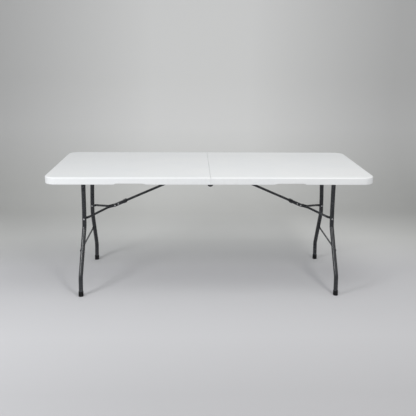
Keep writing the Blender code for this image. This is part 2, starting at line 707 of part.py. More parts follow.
def build_legs(name, side, strut, pivot):
    """A pair of legs with its pivot tube, crossbar, foot caps and rivets."""
    tube = rod(PIVOT_TUBE_RADIUS, -PIVOT_TUBE_REACH, PIVOT_TUBE_REACH, TUBE_SIDES)
    add_part(name + "_pivot_tube", tube, GREY_PAINT, pivot)
    flares = []
    for end_name, row in LONG_SIDES:
        path = leg_path(row)
        sections = [(LEG_RADIUS, LEG_RADIUS)] * len(path)
        leg = add_part(f"{name}_{end_name}_leg", swept(path, sections, (1, 0, 0), TUBE_SIDES), GREY_PAINT, pivot)
        cope_reach = (LEG_TOP_SPREAD + LEG_RADIUS) * 2
        cope = rod(PIVOT_TUBE_RADIUS + FIT_GAP, -cope_reach, cope_reach, TUBE_SIDES)
        rivet_centre = (0.0, row * LEG_WAIST_SPREAD, -BRACE_DOWN_LEG)
        rivet_hole = rod(RIVET_RADIUS + FIT_GAP, -LEG_RADIUS * 2, LEG_RADIUS * 2, SMALL_SIDES, "Y", rivet_centre)
        cut(leg, joined([cope, rivet_hole]))
        head = LEG_RADIUS + FIT_GAP
        profile = [
            (-row * LEG_RADIUS, RIVET_RADIUS),
            (row * head, RIVET_RADIUS),
            (row * head, RIVET_HEAD_RADIUS),
            (row * (head + RIVET_HEAD_THICKNESS), RIVET_HEAD_RADIUS),
        ]
        rivet = turned(profile, SMALL_SIDES, "Y", rivet_centre)
        add_part(f"{name}_{end_name}_leg_rivet", rivet, BRIGHT_STEEL, pivot)
        add_part(f"{name}_{end_name}_foot_cap", foot_cap_shape(side, row), BLACK_RUBBER, pivot)
        flare = [
            Vector((0.0, row * LEG_WAIST_SPREAD, -LEG_FLARE_TOP)),
            Vector((0.0, row * LEG_FOOT_SPREAD, -LEG_FLARE_END)),
        ]
        wide = LEG_RADIUS + FIT_GAP
        flares.append(swept(flare, [(wide, wide)] * 2, (1, 0, 0), TUBE_SIDES))
    centre = (side * crossbar_offset(strut), 0.0, -CROSSBAR_DOWN_LEG)
    crossbar = rod(CROSSBAR_RADIUS, -CROSSBAR_SPREAD, CROSSBAR_SPREAD, ROD_SIDES, "Y", centre)
    crossbar = add_part(name + "_leg_crossbar", crossbar, GREY_PAINT, pivot)
    cut(crossbar, joined(flares))


def build_strut(name, side, strut, pivot):
    """Strut tube, knuckle channel and their pins, in the frame of the strut's pivot."""
    end = strut - STRUT_END_FROM_KNUCKLE
    path = []
    sections = []
    for degrees in (75, 45, 15):
        angle = math.radians(degrees)
        path.append(Vector((-side * STRUT_HALF_HEIGHT * math.sin(angle), 0.0, 0.0)))
        sections.append((STRUT_HALF_WIDTH, STRUT_HALF_HEIGHT * math.cos(angle)))
    path.append(Vector((side * end, 0.0, 0.0)))
    sections.append((STRUT_HALF_WIDTH, STRUT_HALF_HEIGHT))
    tube = add_part(name + "_strut_tube", swept(path, sections, (0, 0, 1), TUBE_SIDES), GREY_PAINT, pivot)
    rivet_places = [(side * (strut - share * CHANNEL_LENGTH), 0.0, 0.0) for share in CHANNEL_RIVET_SHARES]
    hole = RIVET_RADIUS + FIT_GAP
    past = CHANNEL_OUTER * 2
    rivet_holes = [rod(hole, -past, past, SMALL_SIDES, "Y", place) for place in rivet_places]
    pin_hole = rod(PIN_RADIUS + FIT_GAP, -past, past, ROD_SIDES)
    cut(tube, joined(rivet_holes + [pin_hole]))

    web = CHANNEL_HALF_HEIGHT - CHANNEL_WALL
    half = [
        (CHANNEL_OUTER, CHANNEL_HALF_HEIGHT),
        (CHANNEL_OUTER, -CHANNEL_HALF_HEIGHT),
        (CHANNEL_INNER, -CHANNEL_HALF_HEIGHT),
        (CHANNEL_INNER, web),
    ]
    section = half + mirrored(reversed(half), -1)
    outer_end = strut + CHANNEL_OVERHANG
    ends = (side * (outer_end - CHANNEL_LENGTH), side * outer_end)
    channel = add_part(name + "_knuckle_channel", extruded(section, *ends, "X"), GREY_PAINT, pivot)
    knuckle = (side * strut, 0.0, 0.0)
    rivet_holes = [rod(hole, -past, past, SMALL_SIDES, "Y", place) for place in rivet_places]
    cut(channel, joined(rivet_holes + [rod(PIN_RADIUS + FIT_GAP, -past, past, ROD_SIDES, "Y", knuckle)]))
    for rivet_name, place in zip(("lower", "upper"), rivet_places):
        rivet = rod(RIVET_RADIUS, -CHANNEL_OUTER, CHANNEL_OUTER, SMALL_SIDES, "Y", place)
        add_part(f"{name}_{rivet_name}_channel_rivet", rivet, BRIGHT_STEEL, pivot)
    reach = KNUCKLE_HEAD_START
    pin = headed_pin(PIN_RADIUS, PIN_HEAD_RADIUS, PIN_HEAD_THICKNESS, -reach, reach, ROD_SIDES, knuckle)
    add_part(name + "_knuckle_pin", pin, BRIGHT_STEEL, pivot)


def arm_stations(side, row, arm_reach):
    """Path and sections of a brace arm from its knuckle eye to its leg eye, in the knuckle's frame.

    The rod swells from the flat eye to its full round along the bend, slowly at first, so that it clears the channel
    beside which it lies when the brace is folded.
    """
    leg_spread = LEG_WAIST_SPREAD - LEG_RADIUS - ARM_LEG_GAP - ARM_EYE_HALF_THICKNESS
    corners = [
        (0.0, row * ARM_EYE_SPREAD, 0.0),
        (side * ARM_PARALLEL, row * ARM_EYE_SPREAD, 0.0),
        (side * (arm_reach - ARM_LEG_STRETCH), row * leg_spread, 0.0),
        (side * arm_reach, row * leg_spread, 0.0),
    ]
    middle = filleted(corners, ARM_BEND_RADIUS)[1:-1]
    flat = (ARM_EYE_HALF_THICKNESS, ARM_EYE_HALF_HEIGHT)
    round_rod = (ARM_RADIUS, ARM_RADIUS)
    eye = []
    for degrees in (75, 45, 15):
        angle = math.radians(degrees)
        past = ARM_EYE_HALF_HEIGHT * math.sin(angle)
        eye.append((past, (ARM_EYE_HALF_THICKNESS, ARM_EYE_HALF_HEIGHT * math.cos(angle))))
    path = [Vector((-side * past, row * ARM_EYE_SPREAD, 0.0)) for past, _ in eye]
    sections = [section for _, section in eye]
    bend_steps = len(middle) // 2 - 1
    for place, point in enumerate(middle):
        share = (min(place, len(middle) - 1 - place, bend_steps) / bend_steps) ** 2
        path.append(point)
        sections.append(tuple(f + share * (r - f) for f, r in zip(flat, round_rod)))
    for past, section in reversed(eye):
        path.append(Vector((side * (arm_reach + past), row * leg_spread, 0.0)))
        sections.append(section)
    return path, sections, leg_spread


def build_arms(name, side, arm_reach, knuckle):
    """The two brace arms with the rivet in each outer eye."""
    for end_name, row in LONG_SIDES:
        path, sections, leg_spread = arm_stations(side, row, arm_reach)
        arm = swept(path, sections, (0, 0, 1), ROD_SIDES)
        arm = add_part(f"{name}_{end_name}_brace_arm", arm, GREY_PAINT, knuckle)
        eye = (side * arm_reach, row * leg_spread, 0.0)
        past = ARM_RADIUS * 2
        holes = [
            rod(PIN_RADIUS + FIT_GAP, -past, past, ROD_SIDES, "Y", (0.0, row * ARM_EYE_SPREAD, 0.0)),
            rod(RIVET_RADIUS + FIT_GAP, -past, past, SMALL_SIDES, "Y", eye),
        ]
        cut(arm, joined(holes))
        head = ARM_EYE_HALF_THICKNESS + FIT_GAP
        profile = [
            (row * ARM_EYE_HALF_THICKNESS, RIVET_RADIUS),
            (-row * head, RIVET_RADIUS),
            (-row * head, RIVET_HEAD_RADIUS),
            (-row * (head + RIVET_HEAD_THICKNESS), RIVET_HEAD_RADIUS),
        ]
        rivet = turned(profile, SMALL_SIDES, "Y", eye)
        add_part(f"{name}_{end_name}_brace_rivet", rivet, BRIGHT_STEEL, knuckle)


def rounded_box(half_width, half_height, radius):
    """Outline of a rectangle with rounded corners."""
    corners = (
        (half_width - radius, half_height - radius, 0),
        (radius - half_width, half_height - radius, 90),
        (radius - half_width, radius - half_height, 180),
        (half_width - radius, radius - half_height, 270),
    )
    outline = []
    for y, z, start in corners:
        outline += arc((y, z), radius, start, start + 90, CORNER_TURN_STEPS)
    return outline


def build_lock_ring(name, side, strut, pivot):
    """Ring that slides down over the knuckle; its origin is on the strut's middle line."""
    half_width = KNUCKLE_HEAD_START + PIN_HEAD_THICKNESS + RING_SIDE_GAP
    half_height = CHANNEL_HALF_HEIGHT + FIT_GAP
    inner = rounded_box(half_width, half_height, RING_CORNER_RADIUS)
    outer = rounded_box(half_width + RING_WALL, half_height + RING_WALL, RING_CORNER_RADIUS + RING_WALL)
    shape = sleeve(outer, inner, -RING_LENGTH / 2, RING_LENGTH / 2, "X")
    add_part(name + "_lock_ring", shape, GREY_PAINT, pivot, (side * (strut - RING_UP), 0.0, 0.0))


def build_table():
    """Both halves, their legs and braces, and the hinge pins between them."""
    clear_scene()
    strut, arm, strut_slope, arm_slope = brace_geometry()
    for name, side, inner_face, outer_face in HALVES:
        frame = add_empty(name + "_fold_axis", (0.0, 0.0, AXIS_HEIGHT))
        build_half(name, side, inner_face, outer_face, frame)
        leg_place = (side * LEG_PIVOT[0], 0.0, LEG_PIVOT[1])
        build_legs(name, side, strut, add_empty(name + "_leg_axis", leg_place, frame, -side * LEG_SPLAY))
        strut_place = (side * STRUT_PIN[0], 0.0, STRUT_PIN[1])
        strut_axis = add_empty(name + "_strut_axis", strut_place, frame, side * strut_slope)
        build_strut(name, side, strut, strut_axis)
        build_lock_ring(name, side, strut, strut_axis)
        knuckle_turn = side * (arm_slope - strut_slope)
        knuckle = add_empty(name + "_knuckle_axis", (side * strut, 0.0, 0.0), strut_axis, knuckle_turn)
        build_arms(name, side, arm, knuckle)
    build_hinge_pins(add_empty("hinge_pin_axis", (0.0, 0.0, AXIS_HEIGHT)))


if __name__ == "__main__":
    build_table()
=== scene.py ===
"""Plastic folding table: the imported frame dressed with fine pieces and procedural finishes, in a studio.

Every piece is built in the row frame, in metres. The two halves mirror each other, so pieces are worked out
on one side, with u as the distance from the seam towards a table end, and then turned to their side.
"""

import json
import logging
import math
from dataclasses import dataclass
from enum import Enum
from typing import Sequence, Union

import bmesh
import bpy
from mathutils import Matrix, Vector


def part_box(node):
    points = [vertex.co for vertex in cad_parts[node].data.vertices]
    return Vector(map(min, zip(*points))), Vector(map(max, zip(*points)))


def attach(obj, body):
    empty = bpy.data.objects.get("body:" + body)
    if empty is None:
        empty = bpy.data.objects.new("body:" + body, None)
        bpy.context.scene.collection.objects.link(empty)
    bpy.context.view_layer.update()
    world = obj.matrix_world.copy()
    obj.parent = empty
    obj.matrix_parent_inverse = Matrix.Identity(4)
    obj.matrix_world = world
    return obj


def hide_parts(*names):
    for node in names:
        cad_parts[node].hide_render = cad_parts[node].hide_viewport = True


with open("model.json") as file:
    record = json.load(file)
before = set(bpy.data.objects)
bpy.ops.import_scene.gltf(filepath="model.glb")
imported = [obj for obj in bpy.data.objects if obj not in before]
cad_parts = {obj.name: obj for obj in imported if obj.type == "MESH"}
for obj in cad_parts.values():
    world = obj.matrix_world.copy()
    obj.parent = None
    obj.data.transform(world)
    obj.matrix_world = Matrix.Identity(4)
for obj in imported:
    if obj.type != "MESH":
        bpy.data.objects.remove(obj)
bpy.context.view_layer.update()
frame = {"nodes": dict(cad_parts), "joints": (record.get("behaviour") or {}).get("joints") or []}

log = logging.getLogger("folding_table")

Shape = bmesh.types.BMesh
Corner = bmesh.types.BMVert
Pair = tuple[float, float]
Triple = tuple[float, float, float]
Outline = list[Pair]
Path = Sequence[Vector]
Colour = Triple
Socket = bpy.types.NodeSocket
SocketValue = Union[float, tuple, Socket]

# Places of the colour sockets on Blender's Mix node
MIX_FACTOR, MIX_A, MIX_B, MIX_RESULT = 0, 6, 7, 2

FULL_TURN = 2 * math.pi
QUARTER_TURN = math.pi / 2
SHARP_ANGLE = math.radians(38)
SHEET_BEND_STEP = math.radians(15)
BOTH_WAYS = (-1, 1)

# Space between pieces that are fitted or welded together
FIT = 0.0003
# Depth that a rivet head sinks into the face it bears on
SINK = 0.0002
# Rounding on the edges of cut sheet
SHEET_EDGE = 0.0003
# Share of a quarter turn at which a rounded bar end starts, which leaves a small face at its tip
TIP_SHARE = 0.96
# Cell borders of the underside meet where they agree to one part of a metre in this many
BORDER_GRID = 1e5


class Side(Enum):
    """A half of the table, with its direction along X."""

    LEFT = -1
    RIGHT = 1

    @property
    def label(self) -> str:
        """Name that the half's nodes and bodies start with."""
        return self.name.lower()

    @property
    def half(self) -> str:
        """Body of this half of the top."""
        return self.label + "_half"

    def point(self, u: float, y: float, z: float) -> Vector:
        """Point at a distance u from the seam on this half."""
        return Vector((self.value * u, y, z))


class Row(Enum):
    """A long side of the table, with its direction along Y."""

    FRONT = -1
    REAR = 1

    @property
    def label(self) -> str:
        """Name that the row's nodes carry."""
        return self.name.lower()


class Slot(Enum):
    """Material slots of the record."""

    PANEL = "panel_plastic"
    LEG = "leg_paint"
    BRACKET = "bracket_paint"
    CAP = "foot_cap_rubber"
    STEEL = "bright_steel"


# Shapes


def skin(shape: Shape, lower: Sequence[Corner], upper: Sequence[Corner]) -> None:
    """Join two rings of equally many corners with faces.

    Args:
        shape: Shape that holds both rings.
        lower: Corners of one ring.
        upper: Corners of the other ring.
    """
    for place, corner in enumerate(lower):
        following = (place + 1) % len(lower)
        shape.faces.new((corner, lower[following], upper[following], upper[place]))


def loft(rings: Sequence[Path], looped: bool = False, capped: bool = True) -> Shape:
    """Skin rings of equally many points.

    Args:
        rings: Points of each ring, in order.
        looped: Whether the last ring joins the first.
        capped: Whether the first and last ring are closed with a face.

    Returns:
        The skinned shape.
    """
    shape = bmesh.new()
    rows = [[shape.verts.new(point) for point in ring] for ring in rings]
    if looped:
        rows.append(rows[0])
    elif capped:
        shape.faces.new(rows[0])
        shape.faces.new(rows[-1])
    for lower, upper in zip(rows, rows[1:]):
        skin(shape, lower, upper)
    return shape


def merge(shapes: Sequence[Shape]) -> Shape:
    """Put several shapes into one.

    Args:
        shapes: Shapes to join; they are freed.

    Returns:
        One shape that holds them all.
    """
    whole = bmesh.new()
    for shape in shapes:
        mesh = bpy.data.meshes.new("merging")
        shape.to_mesh(mesh)
        shape.free()
        whole.from_mesh(mesh)
        bpy.data.meshes.remove(mesh)
    return whole


def place_shape(shape: Shape, place: Matrix) -> Shape:
    """Move a shape by a matrix and return it."""
    shape.transform(place)
    return shape


def polar(radius: float, angle: float) -> Pair:
    """Point of a circle about the origin, at an angle in radians."""
    return (radius * math.cos(angle), radius * math.sin(angle))


def angles_round(count: int, shift: float = 0.0) -> list[float]:
    """Angles of evenly spaced points round a circle, the first one at a share of a step."""
    return [FULL_TURN * (step + shift) / count for step in range(count)]


def lathe(profile: Sequence[Pair], sides: int, place: Matrix) -> Shape:
    """Turn a profile about the local Z axis.

    Args:
        profile: Pairs of radius and place along the axis.
        sides: Facets round the axis.
        place: Where the axis stands.

    Returns:
        The turned shape, closed at both ends.
    """
    rings = []
    for radius, along in profile:
        rings.append([place @ Vector((*polar(radius, angle), along)) for angle in angles_round(sides)])
    return loft(rings)


def arc(centre: Pair, radius: float, start: float, end: float, steps: int) -> Outline:
    """Points of an arc with both its ends.

    Args:
        centre: Middle of the arc.
        radius: Its radius.
        start: First angle, in degrees from the first axis towards the second.
        end: Last angle.
        steps: Number of chords.

    Returns:
        The points in order.
    """
    points = []
    for step in range(steps + 1):
        across, up = polar(radius, math.radians(start + (end - start) * step / steps))
        points.append((centre[0] + across, centre[1] + up))
    return points


def filleted(corners: Sequence[Sequence[float]], radius: float, step_angle: float) -> list[Vector]:
    """Bend a line at its inner corners.

    Args:
        corners: Corners of the line.
        radius: Radius of each bend.
        step_angle: Largest turn between two points, in radians.

    Returns:
        Points of the bent line.
    """
    path = [Vector(corners[0])]
    for before, corner, after in zip(corners, corners[1:], corners[2:]):
        middle = Vector(corner)
        arriving = (Vector(before) - middle).normalized()
        leaving = (Vector(after) - middle).normalized()
        bend = math.pi - arriving.angle(leaving)
        steps = max(2, math.ceil(bend / step_angle))
        centre = middle + (arriving + leaving).normalized() * (radius / math.cos(bend / 2))
        spoke = middle + arriving * (radius * math.tan(bend / 2)) - centre
        turn = Matrix.Rotation(bend / steps, 3, -arriving.cross(leaving).normalized())
        for _ in range(steps + 1):
            path.append(centre + spoke)
            spoke = turn @ spoke
    path.append(Vector(corners[-1]))
    return path


def direction_at(path: Path, place: int) -> Vector:
    """Direction of a path at one of its points, from the points beside it."""
    return (path[min(place + 1, len(path) - 1)] - path[max(place - 1, 0)]).normalized()


def rounded(half_width: float, half_height: float, sides: int, squareness: float = 2.0) -> Outline:
    """Points of an oval that may be squared off.

    Args:
        half_width: Reach along the first axis.
        half_height: Reach along the second axis.
        sides: Number of points.
        squareness: 2 for an ellipse, and more for flatter sides.

    Returns:
        The points in order.
    """
    points = []
    power = 2 / squareness
    for angle in angles_round(sides, 0.5):
        across, up = polar(1.0, angle)
        width = half_width * math.copysign(abs(across) ** power, across)
        points.append((width, half_height * math.copysign(abs(up) ** power, up)))
    return points


def round_cornered(half_width: float, half_height: float, radius: float, steps: int) -> Outline:
    """Points of a rectangle with round corners.

    Args:
        half_width: Reach along the first axis.
        half_height: Reach along the second axis.
        radius: Radius of the corners.
        steps: Chords round each corner.

    Returns:
        The points in order.
    """
    points = []
    for start, (across, up) in zip((0, 90, 180, 270), ((1, 1), (-1, 1), (-1, -1), (1, -1))):
        centre = (across * (half_width - radius), up * (half_height - radius))
        points += arc(centre, radius, start, start + 90, steps)
    return points


def round_end(steps: int) -> list[Pair]:
    """Shares of its radius that a bar's rounded end reaches on and is wide, from the tip inwards."""
    angles = [QUARTER_TURN * TIP_SHARE * (1 - step / steps) for step in range(steps + 1)]
    return [(math.sin(angle), math.cos(angle)) for angle in angles]


def sweep(path: Path, sections: Sequence[Triple], across: Vector, sides: int) -> Shape:
    """Bar along a path that lies in a plane.

    Args:
        path: Middle line of the bar.
        sections: Half thickness in the path's plane, the same square to it, and squareness, at each point.
        across: Direction square to the path's plane.
        sides: Facets round the bar.

    Returns:
        The bar, closed at both ends.
    """
    rings = []
    for place, (half_in, half_across, squareness) in enumerate(sections):
        inward = across.cross(direction_at(path, place))
        outline = rounded(half_in, half_across, sides, squareness)
        rings.append([path[place] + inward * u + across * v for u, v in outline])
    return loft(rings)


def sheet_section(line: Outline, thickness: float, bend_radius: float) -> Outline:
    """Outline of a bent sheet, seen along its bends.

    Args:
        line: Corners of the sheet's middle line.
        thickness: Thickness of the sheet.
        bend_radius: Radius of the middle line at each bend.

    Returns:
        The closed outline.
    """
    path = filleted([(u, v, 0.0) for u, v in line], bend_radius, SHEET_BEND_STEP)
    upper, lower = [], []
    for place, point in enumerate(path):
        along = direction_at(path, place)
        offset = Vector((-along.y, along.x, 0.0)) * (thickness / 2)
        upper.append(tuple((point + offset)[:2]))
        lower.append(tuple((point - offset)[:2]))
    return upper + lower[::-1]


def prism(outline: Outline, low: float, high: float) -> Shape:
    """Outline of points as (x, z), extruded along Y from low to high."""
    return loft([[Vector((x, level, z)) for x, z in outline] for level in (low, high)])


def along_y(centre: Vector, direction: int = 1) -> Matrix:
    """Matrix that lays a lathe's axis along Y (or -Y for direction -1) at a centre."""
    return Matrix.Translation(centre) @ Matrix.Rotation(-direction * QUARTER_TURN, 4, "X")


# Finishes


def opaque(colour: Colour) -> tuple[float, float, float, float]:
    """Colour with full alpha."""
    return (*colour, 1.0)


class Graph:
    """Short way to lay shader nodes and join them."""

    def __init__(self, tree: bpy.types.NodeTree) -> None:
        """Keep the tree that nodes are laid in."""
        self.tree = tree

    def feed(self, socket: Socket, value: SocketValue) -> None:
        """Link a socket to another, or set it to a number or a colour.

        Args:
            socket: Input that is fed.
            value: What it is fed with.
        """
        if isinstance(value, Socket):
            self.tree.links.new(value, socket)
        else:
            socket.default_value = opaque(value) if isinstance(value, tuple) else value

    def add(
        self, kind: str, sockets: dict[str, SocketValue] | None = None, **settings: object
    ) -> bpy.types.Node:
        """Lay one node.

        Args:
            kind: Blender's type name of the node.
            sockets: Values or links for its inputs, by name.
            **settings: Attributes of the node.

        Returns:
            The new node.
        """
        node = self.tree.nodes.new(kind)
        for name, value in settings.items():
            setattr(node, name, value)
        for name, value in (sockets or {}).items():
            self.feed(node.inputs[name], value)
        return node

    def place(self) -> Socket:
        """Object coordinates of the point that is shaded."""
        return self.add("ShaderNodeTexCoord").outputs["Object"]

    def parts(self, vector: Socket) -> bpy.types.bpy_prop_collection:
        """Parts of a vector, as outputs named X, Y and Z."""
        return self.add("ShaderNodeSeparateXYZ", {"Vector": vector}).outputs

    def upward(self) -> Socket:
        """How far the surface faces up, from -1 to 1."""
        return self.parts(self.add("ShaderNodeTexCoord").outputs["Normal"])["Z"]

    def math(self, operation: str, *values: SocketValue, clamp: bool = False) -> Socket:
        """Lay a Math node.

        Args:
            operation: Blender's name of the operation.
            *values: Its operands, in order.
            clamp: Whether the result is kept from 0 to 1.

        Returns:
            The result's socket.
        """
        node = self.add("ShaderNodeMath", operation=operation, use_clamp=clamp)
        for socket, value in zip(node.inputs, values):
            self.feed(socket, value)
        return node.outputs[0]

    def times(self, first: SocketValue, second: SocketValue, clamp: bool = False) -> Socket:
        """Product of two values."""
        return self.math("MULTIPLY", first, second, clamp=clamp)

    def times_plus(self, value: SocketValue, factor: float, start: SocketValue) -> Socket:
        """Start value with a value times a factor added."""
        return self.math("MULTIPLY_ADD", value, factor, start)

    def mix(
        self, factor: SocketValue, first: SocketValue, second: SocketValue, blend: str = "MIX"
    ) -> Socket:
        """Lay a colour Mix node.

        Args:
            factor: Share of the second colour.
            first: First colour.
            second: Second colour.
            blend: How they mix.

        Returns:
            The mixed colour's socket.
        """
        node = self.add("ShaderNodeMix", data_type="RGBA", blend_type=blend)
        for index, value in ((MIX_FACTOR, factor), (MIX_A, first), (MIX_B, second)):
            self.feed(node.inputs[index], value)
        return node.outputs[MIX_RESULT]

    def remap(
        self, value: Socket, low: float, high: float, to_low: float = 0.0, to_high: float = 1.0
    ) -> Socket:
        """Value with the span from low to high mapped to the span from to_low to to_high."""
        sockets = {"Value": value, "From Min": low, "From Max": high, "To Min": to_low, "To Max": to_high}
        return self.add("ShaderNodeMapRange", sockets).outputs[0]

    def noise(self, vector: Socket, scale: SocketValue, detail: float, roughness: float = 0.5) -> Socket:
        """Noise at a vector, where detail is its octaves and roughness the weight of fine ones."""
        sockets = {"Vector": vector, "Scale": scale, "Detail": detail, "Roughness": roughness}
        return self.add("ShaderNodeTexNoise", sockets).outputs[0]


class Finish(Graph):
    """A material with its Principled shader."""

    def __init__(self, name: str) -> None:
        """Open the material.

        Args:
            name: Its name.
        """
        self.material = bpy.data.materials.new(name)
        self.material.use_nodes = True
        super().__init__(self.material.node_tree)
        self.shader = self.tree.nodes["Principled BSDF"]

    def set(self, **sockets: SocketValue) -> None:
        """Feed the shader's inputs by name, with _ for a space."""
        for label, value in sockets.items():
            self.feed(self.shader.inputs[label.replace("_", " ")], value)

    def raise_by(self, height: Socket) -> None:
        """Feed the shader's Normal from a height in metres."""
        bump = self.add("ShaderNodeBump", {"Height": height, "Strength": 1.0, "Distance": 1.0})
        self.set(Normal=bump.outputs["Normal"])


class Effect:
    """A shader node group that several finishes share."""

    def __init__(self, name: str, inputs: dict[str, float | tuple], outputs: dict[str, str]) -> None:
        """Open the group.

        Args:
            name: The group's name.
            inputs: Its inputs with their defaults; a tuple is a colour.
            outputs: Its outputs with "Float" or "Color".
        """
        self.tree = bpy.data.node_groups.new(name, "ShaderNodeTree")
        for label, value in inputs.items():
            coloured = isinstance(value, tuple)
            kind = "NodeSocketColor" if coloured else "NodeSocketFloat"
            socket = self.tree.interface.new_socket(name=label, in_out="INPUT", socket_type=kind)
            socket.default_value = opaque(value) if coloured else value
        for label, kind in outputs.items():
            self.tree.interface.new_socket(name=label, in_out="OUTPUT", socket_type="NodeSocket" + kind)
        self.graph = Graph(self.tree)
        self.given = self.graph.add("NodeGroupInput").outputs
        self.result = self.graph.add("NodeGroupOutput").inputs

    def give(self, label: str, value: Socket) -> None:
        """Link a value to one of the group's outputs."""
        self.graph.feed(self.result[label], value)

    def cover(self, mask: Socket, second: str) -> None:
        """Give the group's colour with another input's colour laid over it by a mask."""
        self.give("Colour", self.graph.mix(mask, self.given["Colour"], self.given[second]))

    def use(self, graph: Graph, **sockets: SocketValue) -> bpy.types.bpy_prop_collection:
        """Outputs of the group, placed in a material's graph with its inputs fed by name."""
        return graph.add("ShaderNodeGroup", sockets, node_tree=self.tree).outputs


class Effects:
    """The shared groups: pebbled grain, uneven tone, worn edges, dust and brushed scratches."""

    def __init__(self) -> None:
        """Build each group once."""
        self.grain = self.make_grain()
        self.tone = self.make_tone()
        self.wear = self.make_wear()
        self.dust = self.make_dust()
        self.scratches = self.make_scratches()

    @staticmethod
    def make_grain() -> Effect:
        """Bumps of a moulded or sprayed skin, as a height from 0 to 1.

        Returns:
            The group.
        """
        effect = Effect("Skin grain", {"Scale": 900.0, "Softness": 0.6, "Mix": 0.5}, {"Height": "Float"})
        graph, given = effect.graph, effect.given
        place = graph.place()
        sockets = {"Vector": place, "Scale": given["Scale"], "Smoothness": given["Softness"]}
        cells = graph.add("ShaderNodeTexVoronoi", sockets, feature="SMOOTH_F1").outputs["Distance"]
        fine = graph.noise(place, given["Scale"], detail=2.0)
        kept = graph.math("SUBTRACT", 1.0, given["Mix"])
        effect.give("Height", graph.math("ADD", graph.times(cells, given["Mix"]), graph.times(fine, kept)))
        return effect

    @staticmethod
    def make_tone() -> Effect:
        """Slow, faint drift between two colours.

        Returns:
            The group.
        """
        defaults = {"Colour": (0.5, 0.5, 0.5), "Drift": (0.4, 0.4, 0.4), "Scale": 6.0, "Amount": 0.5}
        effect = Effect("Uneven tone", defaults, {"Colour": "Color", "Mask": "Float"})
        graph, given = effect.graph, effect.given
        noise = graph.noise(graph.place(), given["Scale"], detail=4.0, roughness=0.6)
        patches = graph.remap(noise, low=0.35, high=0.65)
        effect.cover(graph.times(patches, given["Amount"]), "Drift")
        effect.give("Mask", patches)
        return effect

    @staticmethod
    def make_wear() -> Effect:
        """Colour that rubs through on outer edges.

        Returns:
            The group.
        """
        defaults = {"Colour": (0.1, 0.1, 0.1), "Worn": (0.3, 0.3, 0.3), "Amount": 0.5, "Scale": 60.0}
        effect = Effect("Edge wear", defaults, {"Colour": "Color", "Mask": "Float"})
        graph, given = effect.graph, effect.given
        pointiness = graph.add("ShaderNodeNewGeometry").outputs["Pointiness"]
        pointed = graph.remap(pointiness, low=0.51, high=0.60)
        noise = graph.noise(graph.place(), given["Scale"], detail=3.0, roughness=0.65)
        broken = graph.remap(noise, low=0.42, high=0.62)
        mask = graph.times(graph.times(pointed, broken), given["Amount"], clamp=True)
        effect.cover(mask, "Worn")
        effect.give("Mask", mask)
        return effect

    @staticmethod
    def make_dust() -> Effect:
        """Thin dust on what faces up.

        Returns:
            The group.
        """
        defaults = {"Colour": (0.1, 0.1, 0.1), "Dust": (0.45, 0.43, 0.40), "Amount": 0.2}
        effect = Effect("Settled dust", defaults, {"Colour": "Color", "Mask": "Float"})
        graph = effect.graph
        facing = graph.remap(graph.upward(), low=0.25, high=1.0)
        noise = graph.noise(graph.place(), scale=35.0, detail=5.0, roughness=0.7)
        patchy = graph.remap(noise, low=0.38, high=0.70, to_low=0.2)
        mask = graph.times(graph.times(facing, patchy), effect.given["Amount"], clamp=True)
        effect.cover(mask, "Dust")
        effect.give("Mask", mask)
        return effect

    @staticmethod
    def make_scratches() -> Effect:
        """Fine scratches drawn along X, as a value round one half.

        Returns:
            The group.
        """
        effect = Effect("Fine scratches", {"Scale": 40.0, "Stretch": 0.06}, {"Value": "Float"})
        graph, given = effect.graph, effect.given
        parts = graph.parts(graph.place())
        sockets = {"X": graph.times(parts["X"], given["Stretch"]), "Y": parts["Y"], "Z": parts["Z"]}
        vector = graph.add("ShaderNodeCombineXYZ", sockets).outputs[0]
        fineness = 12.0
        scale = graph.times(given["Scale"], fineness)
        effect.give("Value", graph.noise(vector, scale, detail=4.0, roughness=0.7))
        return effect


@dataclass(frozen=True)
class MouldedPlastic:
    """White polyethylene: pebbled on the upper face, plainer on the skirt and below."""

    colour: Colour = (0.800, 0.810, 0.810)
    drift: Colour = (0.770, 0.785, 0.795)
    scuff: Colour = (0.660, 0.660, 0.655)
    roughness: float = 0.46
    roughness_drift: float = 0.06
    scuff_roughness: float = 0.5
    pebble_scale: float = 520.0
    pebble_height: float = 0.00030
    skin_scale: float = 1400.0
    skin_height: float = 0.00008
    wave_scale: float = 7.0
    wave_height: float = 0.0012
    ior: float = 1.50

    def material(self, effects: Effects) -> bpy.types.Material:
        """Build the material.

        Args:
            effects: The shared groups.

        Returns:
            The finished material.
        """
        finish = Finish("moulded_plastic")
        on_top = finish.remap(finish.upward(), low=0.80, high=0.97)
        tone = effects.tone.use(finish, Colour=self.colour, Drift=self.drift, Scale=3.2, Amount=0.75)
        worn = effects.wear.use(finish, Colour=tone["Colour"], Worn=self.scuff, Amount=0.30, Scale=45.0)
        scratched = effects.scratches.use(finish, Scale=26.0, Stretch=0.12)["Value"]
        marks = finish.times(finish.remap(scratched, low=0.64, high=0.74, to_high=0.22), on_top)
        rough = finish.times_plus(tone["Mask"], self.roughness_drift, self.roughness)
        rough = finish.math("ADD", rough, finish.times(marks, self.scuff_roughness))
        finish.set(Base_Color=finish.mix(marks, worn["Colour"], self.scuff), Roughness=rough, IOR=self.ior)
        pebbles = effects.grain.use(finish, Scale=self.pebble_scale, Softness=0.5, Mix=0.75)["Height"]
        skin_grain = effects.grain.use(finish, Scale=self.skin_scale, Softness=0.9, Mix=0.3)["Height"]
        waves = finish.noise(finish.place(), self.wave_scale, detail=1.0)
        height = finish.times(finish.times(pebbles, on_top), self.pebble_height)
        height = finish.times_plus(skin_grain, self.skin_height, height)
        finish.raise_by(finish.times_plus(waves, self.wave_height, height))
        return finish.material


